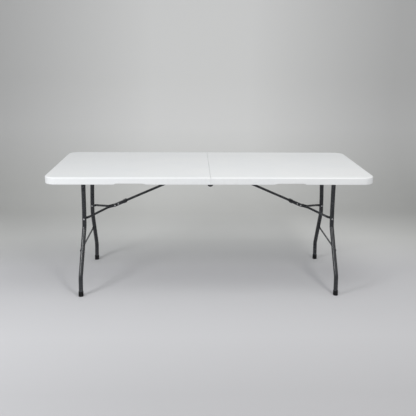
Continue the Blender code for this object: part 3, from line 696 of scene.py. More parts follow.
@dataclass(frozen=True)
class PowderCoat:
    """Sprayed and baked paint with a faint orange peel, worn on its edges and dusty on top."""

    name: str
    colour: Colour
    drift: Colour
    worn: Colour
    roughness: float
    roughness_drift: float = 0.07
    wear: float = 0.55
    wear_roughness: float = 0.15
    dust: float = 0.04
    dust_roughness: float = 0.9
    peel_scale: float = 620.0
    peel_height: float = 0.00005
    ior: float = 1.55

    def material(self, effects: Effects) -> bpy.types.Material:
        """Build the material.

        Args:
            effects: The shared groups.

        Returns:
            The finished material.
        """
        finish = Finish(self.name)
        tone = effects.tone.use(finish, Colour=self.colour, Drift=self.drift, Scale=14.0, Amount=0.8)
        worn = effects.wear.use(finish, Colour=tone["Colour"], Worn=self.worn, Amount=self.wear, Scale=90.0)
        dusted = effects.dust.use(finish, Colour=worn["Colour"], Amount=self.dust)
        rough = finish.times_plus(tone["Mask"], self.roughness_drift, self.roughness)
        rough = finish.times_plus(dusted["Mask"], self.dust_roughness, rough)
        rough = finish.times_plus(worn["Mask"], self.wear_roughness, rough)
        finish.set(Base_Color=dusted["Colour"], Roughness=rough, IOR=self.ior)
        peel = effects.grain.use(finish, Scale=self.peel_scale, Softness=1.0, Mix=0.35)["Height"]
        finish.raise_by(finish.times(peel, self.peel_height))
        return finish.material


@dataclass(frozen=True)
class CapRubber:
    """Black foot rubber, matt, greyed by the floor near its sole."""

    colour: Colour = (0.004, 0.004, 0.005)
    drift: Colour = (0.010, 0.010, 0.011)
    floor_grey: Colour = (0.120, 0.116, 0.110)
    grey_height: float = 0.007
    grey_amount: float = 0.55
    roughness: float = 0.62
    roughness_drift: float = 0.12
    skin_height: float = 0.00006
    specular: float = 0.25

    def material(self, effects: Effects) -> bpy.types.Material:
        """Build the material.

        Args:
            effects: The shared groups.

        Returns:
            The finished material.
        """
        finish = Finish("cap_rubber")
        place = finish.place()
        tone = effects.tone.use(finish, Colour=self.colour, Drift=self.drift, Scale=60.0, Amount=1.0)
        height = finish.parts(place)["Z"]
        low = finish.remap(height, low=0.0, high=self.grey_height, to_low=self.grey_amount, to_high=0.0)
        noise = finish.noise(place, scale=240.0, detail=4.0, roughness=0.7)
        broken = finish.remap(noise, low=0.40, high=0.65)
        soiled = finish.mix(finish.times(low, broken), tone["Colour"], self.floor_grey)
        rough = finish.times_plus(tone["Mask"], self.roughness_drift, self.roughness)
        finish.set(Base_Color=soiled, Roughness=rough, Specular_IOR_Level=self.specular)
        grain = effects.grain.use(finish, Scale=1800.0, Softness=0.7, Mix=0.5)["Height"]
        finish.raise_by(finish.times(grain, self.skin_height))
        return finish.material


@dataclass(frozen=True)
class PlatedSteel:
    """Zinc plated steel of pins, rivets and screws, with dulled patches and fine tool marks."""

    colour: Colour = (0.540, 0.540, 0.555)
    dull: Colour = (0.350, 0.345, 0.340)
    roughness: float = 0.28
    roughness_drift: float = 0.16
    mark_roughness: float = 0.12
    mark_height: float = 0.00003
    metallic: float = 1.0

    def material(self, effects: Effects) -> bpy.types.Material:
        """Build the material.

        Args:
            effects: The shared groups.

        Returns:
            The finished material.
        """
        finish = Finish("plated_steel")
        tone = effects.tone.use(finish, Colour=self.colour, Drift=self.dull, Scale=180.0, Amount=0.7)
        lines = effects.scratches.use(finish, Scale=120.0, Stretch=0.3)["Value"]
        rough = finish.times_plus(tone["Mask"], self.roughness_drift, self.roughness)
        rough = finish.times_plus(lines, self.mark_roughness, rough)
        finish.set(Base_Color=tone["Colour"], Roughness=rough, Metallic=self.metallic)
        finish.raise_by(finish.times(lines, self.mark_height))
        return finish.material


@dataclass(frozen=True)
class Backdrop:
    """Pale paper that runs from the floor up the wall, clear from behind, with painted shade towards the
    front, painted light behind the table, and painted shade at the foot of the wall and far to the sides.
    """

    # Painted shade: the floor colour is darker towards the front
    front: Colour = (0.520, 0.518, 0.530)
    floor: Colour = (0.600, 0.598, 0.612)
    # Painted light: a lighter patch on the floor behind the table, which thins the table's shadow there
    back: Colour = (0.800, 0.802, 0.785)
    # Painted shade at the foot of the wall, where the paper bends
    foot: Colour = (0.660, 0.662, 0.645)
    wall: Colour = (0.765, 0.765, 0.758)
    # Painted shade, multiplied in far to the sides behind the table
    shade: Colour = (0.730, 0.730, 0.730)
    floor_span: Pair = (-1.3, -0.8)
    back_span: Pair = (0.1, 0.75)
    foot_span: Pair = (0.75, 1.4)
    wall_span: Pair = (0.1, 0.6)
    shade_span: Pair = (0.5, 2.0)
    roughness: float = 0.85
    specular: float = 0.2

    def material(self) -> bpy.types.Material:
        """Build the material.

        Returns:
            The finished material.
        """
        finish = Finish("backdrop_paper")
        place = finish.place()
        parts = finish.parts(place)
        # Mask of the painted light behind the table; it also keeps the painted side shade to the back
        behind = finish.remap(parts["Y"], *self.back_span)
        # Painted shade: the floor darkens towards the front
        colour = finish.mix(finish.remap(parts["Y"], *self.floor_span), self.front, self.floor)
        # Painted light behind the table
        colour = finish.mix(behind, colour, self.back)
        # Painted shade at the foot of the wall
        colour = finish.mix(finish.remap(parts["Y"], *self.foot_span), colour, self.foot)
        colour = finish.mix(finish.remap(parts["Z"], *self.wall_span), colour, self.wall)
        # Painted shade far to the sides, behind the table
        aside = finish.remap(finish.math("ABSOLUTE", parts["X"]), *self.shade_span)
        colour = finish.mix(finish.times(aside, behind), colour, self.shade, "MULTIPLY")
        fibres = finish.noise(place, scale=180.0, detail=4.0, roughness=0.7)
        faint = finish.remap(fibres, low=0.0, high=1.0, to_low=0.985)
        colour = finish.mix(1.0, colour, faint, "MULTIPLY")
        finish.set(Base_Color=colour, Roughness=self.roughness, Specular_IOR_Level=self.specular)
        from_behind = finish.add("ShaderNodeNewGeometry").outputs["Backfacing"]
        seen = finish.add("ShaderNodeMixShader", {"Fac": from_behind})
        finish.feed(seen.inputs[1], finish.shader.outputs["BSDF"])
        finish.feed(seen.inputs[2], finish.add("ShaderNodeBsdfTransparent").outputs["BSDF"])
        finish.feed(finish.tree.nodes["Material Output"].inputs["Surface"], seen.outputs["Shader"])
        return finish.material


def set_in_scene(name: str, shape: Shape, material: bpy.types.Material) -> bpy.types.Object:
    """Make a smooth shaded object of a shape.

    Args:
        name: Its name.
        shape: Its mesh, which is freed.
        material: Its finish.

    Returns:
        The new object.
    """
    mesh = bpy.data.meshes.new(name)
    shape.to_mesh(mesh)
    shape.free()
    mesh.shade_smooth()
    mesh.materials.append(material)
    piece = bpy.data.objects.new(name, mesh)
    bpy.context.scene.collection.objects.link(piece)
    return piece


class Workshop:
    """Holds the finishes and sets each piece in the scene."""

    def __init__(self) -> None:
        """Make the finishes."""
        effects = Effects()
        leg = PowderCoat(
            name="leg_powder_coat",
            colour=(0.012, 0.0135, 0.017),
            drift=(0.008, 0.0095, 0.012),
            worn=(0.130, 0.135, 0.145),
            roughness=0.24,
        )
        bracket = PowderCoat(
            name="bracket_powder_coat",
            colour=(0.012, 0.013, 0.015),
            drift=(0.009, 0.010, 0.012),
            worn=(0.110, 0.110, 0.115),
            roughness=0.38,
        )
        self.finishes = {
            Slot.PANEL: MouldedPlastic().material(effects),
            Slot.LEG: leg.material(effects),
            Slot.BRACKET: bracket.material(effects),
            Slot.CAP: CapRubber().material(effects),
            Slot.STEEL: PlatedSteel().material(effects),
        }

    def add(
        self,
        name: str,
        shape: Shape,
        slot: Slot,
        body: str,
        stands_for: Sequence[str] = (),
        bevel: float = 0.0,
        weighted: bool = False,
    ) -> None:
        """Set one piece in the scene.

        Args:
            name: Its name.
            shape: Its mesh, in the row frame, which is freed.
            slot: Its finish.
            body: The body that it rides on.
            stands_for: Nodes that it is shown in place of.
            bevel: Width of the rounding on its sharp edges, or 0.
            weighted: Whether large flat faces rule the shading of their edges.
        """
        bmesh.ops.recalc_face_normals(shape, faces=shape.faces)
        piece = set_in_scene(name, shape, self.finishes[slot])
        piece.data.set_sharp_from_angle(angle=SHARP_ANGLE)
        if bevel:
            rounding = piece.modifiers.new("rounding", "BEVEL")
            rounding.width = bevel
            rounding.segments = 2
            rounding.limit_method = "ANGLE"
            rounding.angle_limit = SHARP_ANGLE
        if weighted or bevel:
            shading = piece.modifiers.new("shading", "WEIGHTED_NORMAL")
            shading.keep_sharp = not bevel
        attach(piece, body)
        if stands_for:
            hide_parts(*stands_for)
        log.info("%s: %d faces, rides on %s", name, len(piece.data.polygons), body)

    def dress_node(self, node: str, slot: Slot) -> None:
        """Give a node that stays as it is its fine finish.

        Args:
            node: Its name.
            slot: Its finish.
        """
        piece = frame["nodes"][node]
        piece.data.materials.clear()
        piece.data.materials.append(self.finishes[slot])
        log.info("%s: kept, dressed in %s", node, slot.value)


# Places


def joint_place(name: str) -> Vector:
    """Point on a joint's axis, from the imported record."""
    return next(Vector(joint["pos_m"]) for joint in frame["joints"] if joint["name"] == name)


def middle_of(node: str) -> Vector:
    """Middle of a node's box."""
    low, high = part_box(node)
    return (low + high) / 2


def reach_of(node: str, axis: str) -> list[float]:
    """Nearest and farthest reach of a node from the table's middle, along the axis "x" or "y"."""
    return sorted(abs(getattr(corner, axis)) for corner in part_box(node))


# Fasteners


@dataclass
class Fasteners:
    """Screws, rivets and pins, each with its own head."""

    screw_radius: float = 0.0042
    screw_height: float = 0.0022
    screw_shares: tuple[Pair, ...] = (
        (1.0, 0.0), (1.0, 0.40), (0.96, 0.62), (0.86, 0.82), (0.70, 0.95), (0.58, 1.0)
    )
    recess_reach: float = 0.0021
    recess_half_width: float = 0.00055
    recess_depth: float = 0.0012
    recess_floor_share: float = 0.72
    rim_share: float = 0.25
    dome_span: Pair = (12, 84)
    sides: int = 24

    def screw(self, seat: Vector) -> Shape:
        """Pan head screw with a cross recess, its head hanging below a seat.

        Args:
            seat: Middle of the face that the head bears on.

        Returns:
            The screw head.
        """
        rings = []
        for width_share, height_share in self.screw_shares:
            ring = rounded(self.screw_radius * width_share, self.screw_radius * width_share, self.sides)
            rings.append([seat + Vector((u, v, -self.screw_height * height_share)) for u, v in ring])
        for shrink, depth in ((1.0, 0.0), (self.recess_floor_share, self.recess_depth)):
            ring = []
            for angle in angles_round(self.sides, 0.5):
                off_arm = (angle + QUARTER_TURN / 2) % QUARTER_TURN - QUARTER_TURN / 2
                reach = min(self.recess_reach, self.recess_half_width / abs(math.sin(off_arm))) * shrink
                ring.append(seat + Vector((*polar(reach, angle), depth - self.screw_height)))
            rings.append(ring)
        return loft(rings)

    def screws(self, seats: Sequence[Vector]) -> Shape:
        """One screw at each seat, in one shape."""
        return merge([self.screw(seat) for seat in seats])

    def button(self, place: Matrix, radius: float, height: float) -> Shape:
        """Domed rivet or pin head that stands up along the local Z axis of a place.

        Args:
            place: Middle of the face that it bears on, with Z pointing out.
            radius: Radius of the head.
            height: Height of the dome.

        Returns:
            The head.
        """
        rim = height * self.rim_share
        profile = [(radius, 0.0), (radius, rim)]
        for width_share, height_share in arc((0.0, 0.0), 1.0, *self.dome_span, steps=7):
            profile.append((radius * width_share, rim + (height - rim) * height_share))
        return lathe(profile, self.sides, place)

    def buttons(self, middle: Vector, reach: float, radius: float, height: float) -> list[Shape]:
        """Two domed heads that face apart along Y, each at a reach from their middle."""
        seats = [along_y(middle + Vector((0.0, way * reach, 0.0)), way) for way in BOTH_WAYS]
        return [self.button(seat, radius, height) for seat in seats]

    def shank(self, place: Matrix, radius: float, low: float, high: float) -> Shape:
        """Plain round bar along the local Z axis of a place, from low to high."""
        return lathe([(radius, low), (radius, high)], self.sides, place)


@dataclass
class Assembly:
    """Sub-assembly of one half of the table."""

    side: Side

    @property
    def label(self) -> str:
        """Name that the half's nodes and bodies start with."""
        return self.side.label

    @property
    def seat(self) -> float:
        """Height at which hardware sits under the deck."""
        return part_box(self.label + "_top_panel")[1].z - TopHalf.deck - FIT


# Halves of the top


@dataclass
class TopHalf(Assembly):
    """One moulded half of the top: deck, skirt, grips, seam wall, and the dimpled underside."""

    seam_gap: float = 0.0006
    depth: float = 0.040
    deck: float = 0.010
    wall: float = 0.012
    corner_radius: float = 0.065
    edge_radius: float = 0.007
    edge_steps: int = 12
    seam_radius: float = 0.0016
    lip_radius: float = 0.002
    lip_shares: tuple[Pair, ...] = ((0.0, 1.0), (0.3, 0.3), (1.0, 0.0))
    parting_groove: float = 0.00025
    parting_shares: tuple[Pair, ...] = ((0.0, -2.0), (1.0, -1.0), (1.0, 1.0), (0.0, 2.0))
    parting_height: float = 0.0105
    parting_lift_share: float = 0.4
    inner_fillet: float = 0.004
    inner_draft: float = 0.0012
    grip_length: float = 0.186
    grip_rise: float = 0.0055
    grip_inner_ramp: float = 0.028
    grip_outer_ramp: float = 0.017
    grip_from_seam: float = 0.441
    grip_steps: int = 6
    slot_low: float = 0.3377
    slot_high: float = 0.3571
    slot_rise: float = 0.0182
    slot_ramp: float = 0.001
    dimple_pitch_x: float = 0.0560
    dimple_pitch_y: float = 0.0500
    dimple_radius: float = 0.0125
    dimple_floor_radius: float = 0.0062
    dimple_depth: float = 0.0060
    dimple_edge: float = 0.0013
    dimple_edge_shares: Pair = (0.7, 0.35)
    dimple_floor_share: float = 0.4
    dimples_from_seam: float = 0.050
    dimples_along: int = 15
    dimples_across: int = 11
    cell_points: int = 12

    def __post_init__(self) -> None:
        """Read the half's reach from its node."""
        self.node = self.label + "_top_panel"
        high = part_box(self.node)[1]
        self.top = high.z
        self.foot = high.z - self.depth
        self.ceiling = high.z - self.deck
        self.half_width = high.y
        self.end = reach_of(self.node, "x")[1]

    def grip(self) -> Outline:
        """Distance from the seam and rise of the lower edge along a hand grip, with eased ramps.

        Returns:
            The pairs, from the seam outwards.
        """
        start = self.grip_from_seam - self.grip_length / 2
        end = self.grip_from_seam + self.grip_length / 2
        points = []
        for step in range(self.grip_steps + 1):
            share = step / self.grip_steps
            rise = self.grip_rise * (1 - math.cos(math.pi * share)) / 2
            points.append((start + share * self.grip_inner_ramp, rise))
            points.append((end - share * self.grip_outer_ramp, rise))
        return sorted(points)

    def outline(self, inset: float, seam_inset: float, lift_share: float = 1.0) -> list[Vector]:
        """Plan of the half with its edge drawn in.

        Args:
            inset: How far the long sides and the end are drawn in.
            seam_inset: How far the seam wall is drawn in.
            lift_share: Share of the lower edge's rise that is kept.

        Returns:
            Points as (distance from the seam, y, rise of the lower edge).
        """
        seam = self.seam_gap / 2 + seam_inset
        reach = self.half_width - inset
        radius = self.corner_radius - inset
        corner = arc((self.end - inset - radius, reach - radius), radius, 90, 0, steps=20)
        front = [(seam, -reach, 0.0)] + [(u, -reach, rise) for u, rise in self.grip()]
        front += [(u, -y, 0.0) for u, y in corner]
        slot = [
            (self.slot_high + self.slot_ramp, 0.0),
            (self.slot_high, self.slot_rise),
            (self.slot_low, self.slot_rise),
            (self.slot_low - self.slot_ramp, 0.0),
        ]
        points = front + [(u, -y, rise) for u, y, rise in reversed(front)]
        points += [(seam, y, rise) for y, rise in slot] + [(seam, -y, rise) for y, rise in reversed(slot)]
        return [Vector((u, y, rise * lift_share)) for u, y, rise in points]

    def ring(self, height: float, inset: float, seam_inset: float, lift_share: float = 1.0) -> list[Vector]:
        """Ring of the skirt with its edge drawn in, at a height that the rise adds to."""
        outline = self.outline(inset, seam_inset, lift_share)
        return [self.side.point(u, y, height + rise) for u, y, rise in outline]

    def skirt_rings(self) -> list[list[Vector]]:
        """Rings from the ceiling of the recess, round the lip, up the skirt and over the edge.

        Returns:
            The rings, in order.
        """
        rings = []
        for u, v in arc((0.0, 0.0), self.inner_fillet, 0, 90, steps=4)[::-1]:
            inset = self.wall + self.inner_draft + self.inner_fillet - u
            rings.append(self.ring(self.ceiling - self.inner_fillet + v, inset, inset, 0.0))
        for in_share, up_share in self.lip_shares:
            inset = self.wall - self.lip_radius * in_share
            rings.append(self.ring(self.foot + self.lip_radius * up_share, inset, inset))
        for u, v in arc((self.lip_radius, self.lip_radius), self.lip_radius, 270, 180, steps=4):
            rings.append(self.ring(self.foot + v, u, u))
        for in_share, up_share in self.parting_shares:
            height = self.foot + self.parting_height + up_share * self.parting_groove
            rings.append(self.ring(height, in_share * self.parting_groove, 0.0, self.parting_lift_share))
        for step in range(self.edge_steps + 1):
            angle = QUARTER_TURN * step / self.edge_steps
            inset = self.edge_radius * (1 - math.cos(angle))
            seam_inset = self.seam_radius * (1 - math.cos(angle))
            height = self.top - self.edge_radius * (1 - math.sin(angle))
            seam_height = self.top - self.seam_radius * (1 - math.sin(angle))
            ring = []
            for u, y, _ in self.outline(inset, seam_inset):
                at_seam = u <= self.seam_gap + seam_inset and abs(y) < self.half_width - self.edge_radius
                ring.append(self.side.point(u, y, seam_height if at_seam else height))
            rings.append(ring)
        return rings

    def dimple_rings(self, u: float, y: float) -> list[list[Triple]]:
        """Rings of one dimple cell, from its square border up into the deck.

        Args:
            u: Middle of the cell, from the seam.
            y: Middle of the cell across the table.

        Returns:
            Rings of points as (distance from the seam, y, height).
        """
        border = []
        corners = ((-0.5, -0.5), (0.5, -0.5), (0.5, 0.5), (-0.5, 0.5))
        per_edge = self.cell_points // len(corners)
        for corner, following in zip(corners, corners[1:] + corners[:1]):
            for place in range(per_edge):
                share = place / per_edge
                a, b = (start + (end - start) * share for start, end in zip(corner, following))
                border.append((u + a * self.dimple_pitch_x, y + b * self.dimple_pitch_y, self.ceiling))
        edge_in, edge_up = (self.dimple_edge * share for share in self.dimple_edge_shares)
        floor_round = self.dimple_edge * self.dimple_floor_share
        levels = (
            (self.dimple_radius, 0.0),
            (self.dimple_radius - edge_in, edge_up),
            (self.dimple_radius - self.dimple_edge, self.dimple_edge),
            (self.dimple_floor_radius + floor_round, self.dimple_depth - floor_round),
            (self.dimple_floor_radius - floor_round, self.dimple_depth),
        )
        rings = [border]
        first_corner = math.pi * 0.75
        for radius, rise in levels:
            ring = []
            for angle in angles_round(self.cell_points):
                across, up = polar(radius, angle - first_corner)
                ring.append((u + across, y + up, self.ceiling + rise))
            rings.append(ring)
        return rings

    def add_underside(self, shape: Shape, rim: list[Corner]) -> None:
        """Fill the recess's ceiling with rows of dimples, every other row set over by half a pitch.

        Args:
            shape: The half's shape.
            rim: Corners of its first ring, which the ceiling joins.
        """
        known: dict[tuple[int, int], Corner] = {}

        def border_corner(u: float, y: float, z: float) -> Corner:
            """Corner on a cell's border, shared with its neighbours.

            Args:
                u: Distance from the seam.
                y: Place across the table.
                z: Height.

            Returns:
                The corner.
            """
            key = (round(u * BORDER_GRID), round(y * BORDER_GRID))
            if key not in known:
                known[key] = shape.verts.new(self.side.point(u, y, z))
            return known[key]

        for across in range(self.dimples_across):
            y = (across - (self.dimples_across - 1) / 2) * self.dimple_pitch_y
            shift = 0.5 if across % 2 else 0.0
            for along in range(self.dimples_along):
                pitches = (along + shift + 0.5) * self.dimple_pitch_x
                u = self.dimples_from_seam + pitches - self.dimple_pitch_x / 4
                border, *inner = self.dimple_rings(u, y)
                rows = [[border_corner(*point) for point in border]]
                rows += [[shape.verts.new(self.side.point(*point)) for point in ring] for ring in inner]
                for outer_row, inner_row in zip(rows, rows[1:]):
                    skin(shape, outer_row, inner_row)
                shape.faces.new(rows[-1])
        rim_edges = [shape.edges.get(ends) for ends in zip(rim, rim[1:] + rim[:1])]
        borders = set(known.values())
        open_edges = [edge for edge in shape.edges if len(edge.link_faces) == 1 and edge not in rim_edges]
        edges = rim_edges + [edge for edge in open_edges if borders.issuperset(edge.verts)]
        bmesh.ops.triangle_fill(shape, use_beauty=True, use_dissolve=False, edges=edges)

    def build(self, shop: Workshop) -> None:
        """Build the half and set it in the scene.

        Args:
            shop: Where pieces are set.
        """
        rings = self.skirt_rings()
        shape = loft(rings, capped=False)
        corners = list(shape.verts)
        shape.faces.new(corners[-len(rings[0]):])
        self.add_underside(shape, corners[:len(rings[0])])
        shop.add(self.label + "_top", shape, Slot.PANEL, self.side.half, [self.node], weighted=True)


# Hardware under the top


@dataclass
class Rail(Assembly):
    """Steel angle under one long side of a half, with its screws."""

    row: Row
    sheet: float = 0.0015
    flange: float = 0.025
    web: float = 0.024
    bend_radius: float = 0.0022
    clip: float = 0.006
    screw_shares: tuple[float, ...] = (0.19, 0.44, 0.69, 0.95)
    screw_across_share: float = 0.62

    def build(self, shop: Workshop, fasteners: Fasteners) -> None:
        """Build the rail and its screws.

        Args:
            shop: Where pieces are set.
            fasteners: Maker of the screws.
        """
        node = f"{self.label}_{self.row.label}_rail"
        start, end = reach_of(node, "x")
        outer = reach_of(node, "y")[1]
        top, half, row = self.seat, self.sheet / 2, self.row.value
        line = [(outer - self.flange, top - half), (outer - half, top - half)]
        line.append((outer - half, top - self.web))
        section = sheet_section(line, self.sheet, self.bend_radius)
        stations = ((start, self.clip), (start + self.clip, 0.0), (end - self.clip, 0.0), (end, self.clip))
        rings = []
        for u, clip in stations:
            ring = []
            for y, z in section:
                y = max(y, outer - self.flange + clip) if z > top - self.sheet - half else y
                ring.append(self.side.point(u, row * y, max(z, top - self.web + clip)))
            rings.append(ring)
        shop.add(node + "_steel", loft(rings), Slot.BRACKET, self.side.half, [node], bevel=SHEET_EDGE)
        y = row * (outer - self.flange * self.screw_across_share)
        places = [start + share * (end - start) for share in self.screw_shares]
        screws = fasteners.screws([self.side.point(u, y, top - self.sheet) for u in places])
        shop.add(node + "_screws", screws, Slot.STEEL, self.side.half)


@dataclass
class Saddle(Assembly):
    """Strap that holds the pivot tube under the deck, with a screw on each flange."""

    row: Row
    sheet: float = 0.0018
    flange: float = 0.0145
    tube_radius: float = 0.0095
    inner_bend: float = 0.0016
    edge_round: float = 0.0004

    def build(self, shop: Workshop, fasteners: Fasteners) -> None:
        """Build the strap and its screws.

        Args:
            shop: Where pieces are set.
            fasteners: Maker of the screws.
        """
        node = f"{self.label}_{self.row.label}_saddle"
        low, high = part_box(node)
        pivot = joint_place(self.label + "_leg_fold")
        top, bend = self.seat, self.inner_bend
        base = top - self.sheet
        inner = self.tube_radius + FIT
        outer = inner + self.sheet
        half = [(outer + self.flange, top), (outer + self.flange, base)]
        half += arc((outer + bend, base - bend), bend, 90, 180, steps=4)
        section = half + arc((0.0, pivot.z), outer, 0, -180, steps=24)
        section += [(-u, v) for u, v in reversed(half)] + [(-inner, top)]
        section += arc((0.0, pivot.z), inner, -180, 0, steps=24) + [(inner, top)]
        strap = prism([(pivot.x + u, v) for u, v in section], low.y, high.y)
        shop.add(node + "_strap", strap, Slot.BRACKET, self.side.half, [node], bevel=self.edge_round)
        across = (low.y + high.y) / 2
        aside = outer + self.flange / 2
        screws = fasteners.screws([Vector((pivot.x + way * aside, across, base)) for way in BOTH_WAYS])
        shop.add(node + "_screws", screws, Slot.STEEL, self.side.half)


@dataclass
class StrutBracket(Assembly):
    """Inverted U near the seam that carries the strut's pin."""

    sheet: float = 0.0015
    cheek: float = 0.002
    cheek_straight: float = 0.002
    inner: float = 0.0087
    flange_corner: float = 0.004
    lug_margin: float = 0.0022
    pin_head_radius: float = 0.005
    pin_head_height: float = 0.0020
    pin_radius: float = 0.003

    def plates(self, pin: Vector) -> Shape:
        """Two flanges against the deck, each with a cheek that hangs down round the pin.

        Args:
            pin: Point on the pin's axis.

        Returns:
            The plates.
        """
        low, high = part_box(self.label + "_strut_bracket")
        base = self.seat - self.sheet
        length = (high.x - low.x) / 2
        corner = min(self.flange_corner, length)
        drop = base - pin.z
        lug = arc((0.0, 0.0), self.pin_head_radius + self.lug_margin, 180, 360, steps=16)
        cheek = [(length, drop), (-length, drop), (-length, drop - self.cheek_straight)]
        cheek += lug + [(length, drop - self.cheek_straight)]
        cheek = [(pin.x + u, max(pin.z + v, low.z)) for u, v in cheek]
        plates = []
        for way in BOTH_WAYS:
            near, far = way * self.inner, way * high.y
            plan = [(-length, near), (length, near), (length, far - way * corner), (length - corner, far)]
            plan += [(corner - length, far), (-length, far - way * corner)]
            plates.append(loft([[Vector((pin.x + x, y, z)) for x, y in plan] for z in (base, self.seat)]))
            plates.append(prism(cheek, near, way * (self.inner + self.cheek)))
        return merge(plates)

    def build(self, shop: Workshop, fasteners: Fasteners) -> None:
        """Build the bracket, its screws and the pin.

        Args:
            shop: Where pieces are set.
            fasteners: Maker of the screws and the pin.
        """
        node = self.label + "_strut_bracket"
        body = self.side.half
        pin = joint_place(self.label + "_strut_swing")
        shop.add(node + "_sheet", self.plates(pin), Slot.BRACKET, body, [node], bevel=SHEET_EDGE)
        outer = self.inner + self.cheek
        aside = (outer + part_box(node)[1].y) / 2
        seats = [Vector((pin.x, way * aside, self.seat - self.sheet)) for way in BOTH_WAYS]
        shop.add(node + "_screws", fasteners.screws(seats), Slot.STEEL, body)
        parts = [fasteners.shank(along_y(pin), self.pin_radius, -outer, outer)]
        parts += fasteners.buttons(pin, outer + FIT, self.pin_head_radius, self.pin_head_height)
        node = self.label + "_strut_pin"
        shop.add(self.label + "_strut_pivot_pin", merge(parts), Slot.STEEL, body, [node])


@dataclass
class CentreHinge:
    """Hinge in the middle of one long side: two leaves, a pin and a spacer."""

    row: Row
    radius: float = 0.0175
    sheet: float = 0.0025
    arm_length: float = 0.112
    arm_lift: float = 0.001
    arm_corner: float = 0.004
    rivet_shares: tuple[float, ...] = (0.50, 0.86)
    rivet_head_radius: float = 0.0045
    rivet_head_height: float = 0.0017
    pin_head_radius: float = 0.0075
    pin_head_height: float = 0.0026
    pin_head_seat: float = 0.002
    pin_radius: float = 0.004

    def leaf(self, side: Side, axis: Vector, faces: Pair) -> Shape:
        """Flat leaf with a round lug about the fold axis and a tapering arm along the rail.

        Args:
            side: Half that the leaf is riveted to.
            axis: Point on the fold axis.
            faces: Its two faces across the table.

        Returns:
            The leaf.
        """
        drop = math.degrees(math.asin(self.arm_lift / self.radius))
        corner = self.arm_corner
        outline = arc((0.0, 0.0), self.radius, 90, 360 + drop, steps=40)
        outline += arc((self.arm_length - corner, self.arm_lift + corner), corner, 270, 360, steps=6)
        outline += arc((self.arm_length - corner, self.radius - corner), corner, 0, 90, steps=6)
        return prism([(axis.x + side.value * u, axis.z + v) for u, v in outline], *faces)

    def add_leaf(self, side: Side, axis: Vector, shop: Workshop, fasteners: Fasteners) -> None:
        """Build one leaf and its rivets; the left leaf lies inside the rail's web, the right one outside.

        Args:
            side: Half that the leaf is riveted to.
            axis: Point on the fold axis.
            shop: Where pieces are set.
            fasteners: Maker of the rivets.
        """
        row, out = self.row.value, side.value
        node = f"{side.label}_{self.row.label}_hinge_leaf"
        web_outer = reach_of(f"{side.label}_{self.row.label}_rail", "y")[1]
        web = (web_outer - Rail.sheet, web_outer)
        touched, riveted = web if side is Side.LEFT else web[::-1]
        bearing = touched + out * FIT
        face = bearing + out * self.sheet
        near, far = sorted((bearing, face))
        leaf = self.leaf(side, axis, (row * near, row * far))
        shop.add(node + "_plate", leaf, Slot.BRACKET, side.half, [node], bevel=SHEET_EDGE)
        height = axis.z + (self.radius + self.arm_lift) / 2
        heads = []
        for share in self.rivet_shares:
            x = axis.x + side.value * share * self.arm_length
            for seat, way in ((face, out), (riveted, -out)):
                place = along_y(Vector((x, row * seat, height)), row * way)
                heads.append(fasteners.button(place, self.rivet_head_radius, self.rivet_head_height))
        shop.add(node + "_rivets", merge(heads), Slot.STEEL, side.half)

    def build(self, shop: Workshop, fasteners: Fasteners) -> None:
        """Build both leaves with their rivets, and the pin.

        Args:
            shop: Where pieces are set.
            fasteners: Maker of the rivets and the pin.
        """
        axis = joint_place("centre_fold")
        row = self.row.value
        for side in Side:
            self.add_leaf(side, axis, shop, fasteners)
        node = self.row.label + "_hinge_pin"
        inner_end, outer_end = reach_of(node, "y")
        low, high = inner_end + self.pin_head_seat, outer_end - self.pin_head_seat
        parts = [fasteners.shank(along_y(axis, row), self.pin_radius, low, high)]
        for face, way in ((low, -1), (high, 1)):
            seat = along_y(Vector((axis.x, row * face, axis.z)), row * way)
            parts.append(fasteners.button(seat, self.pin_head_radius, self.pin_head_height))
        shop.add(node + "_head", merge(parts), Slot.STEEL, "left_half", [node])
        shop.dress_node(self.row.label + "_hinge_spacer", Slot.BRACKET)


# Legs


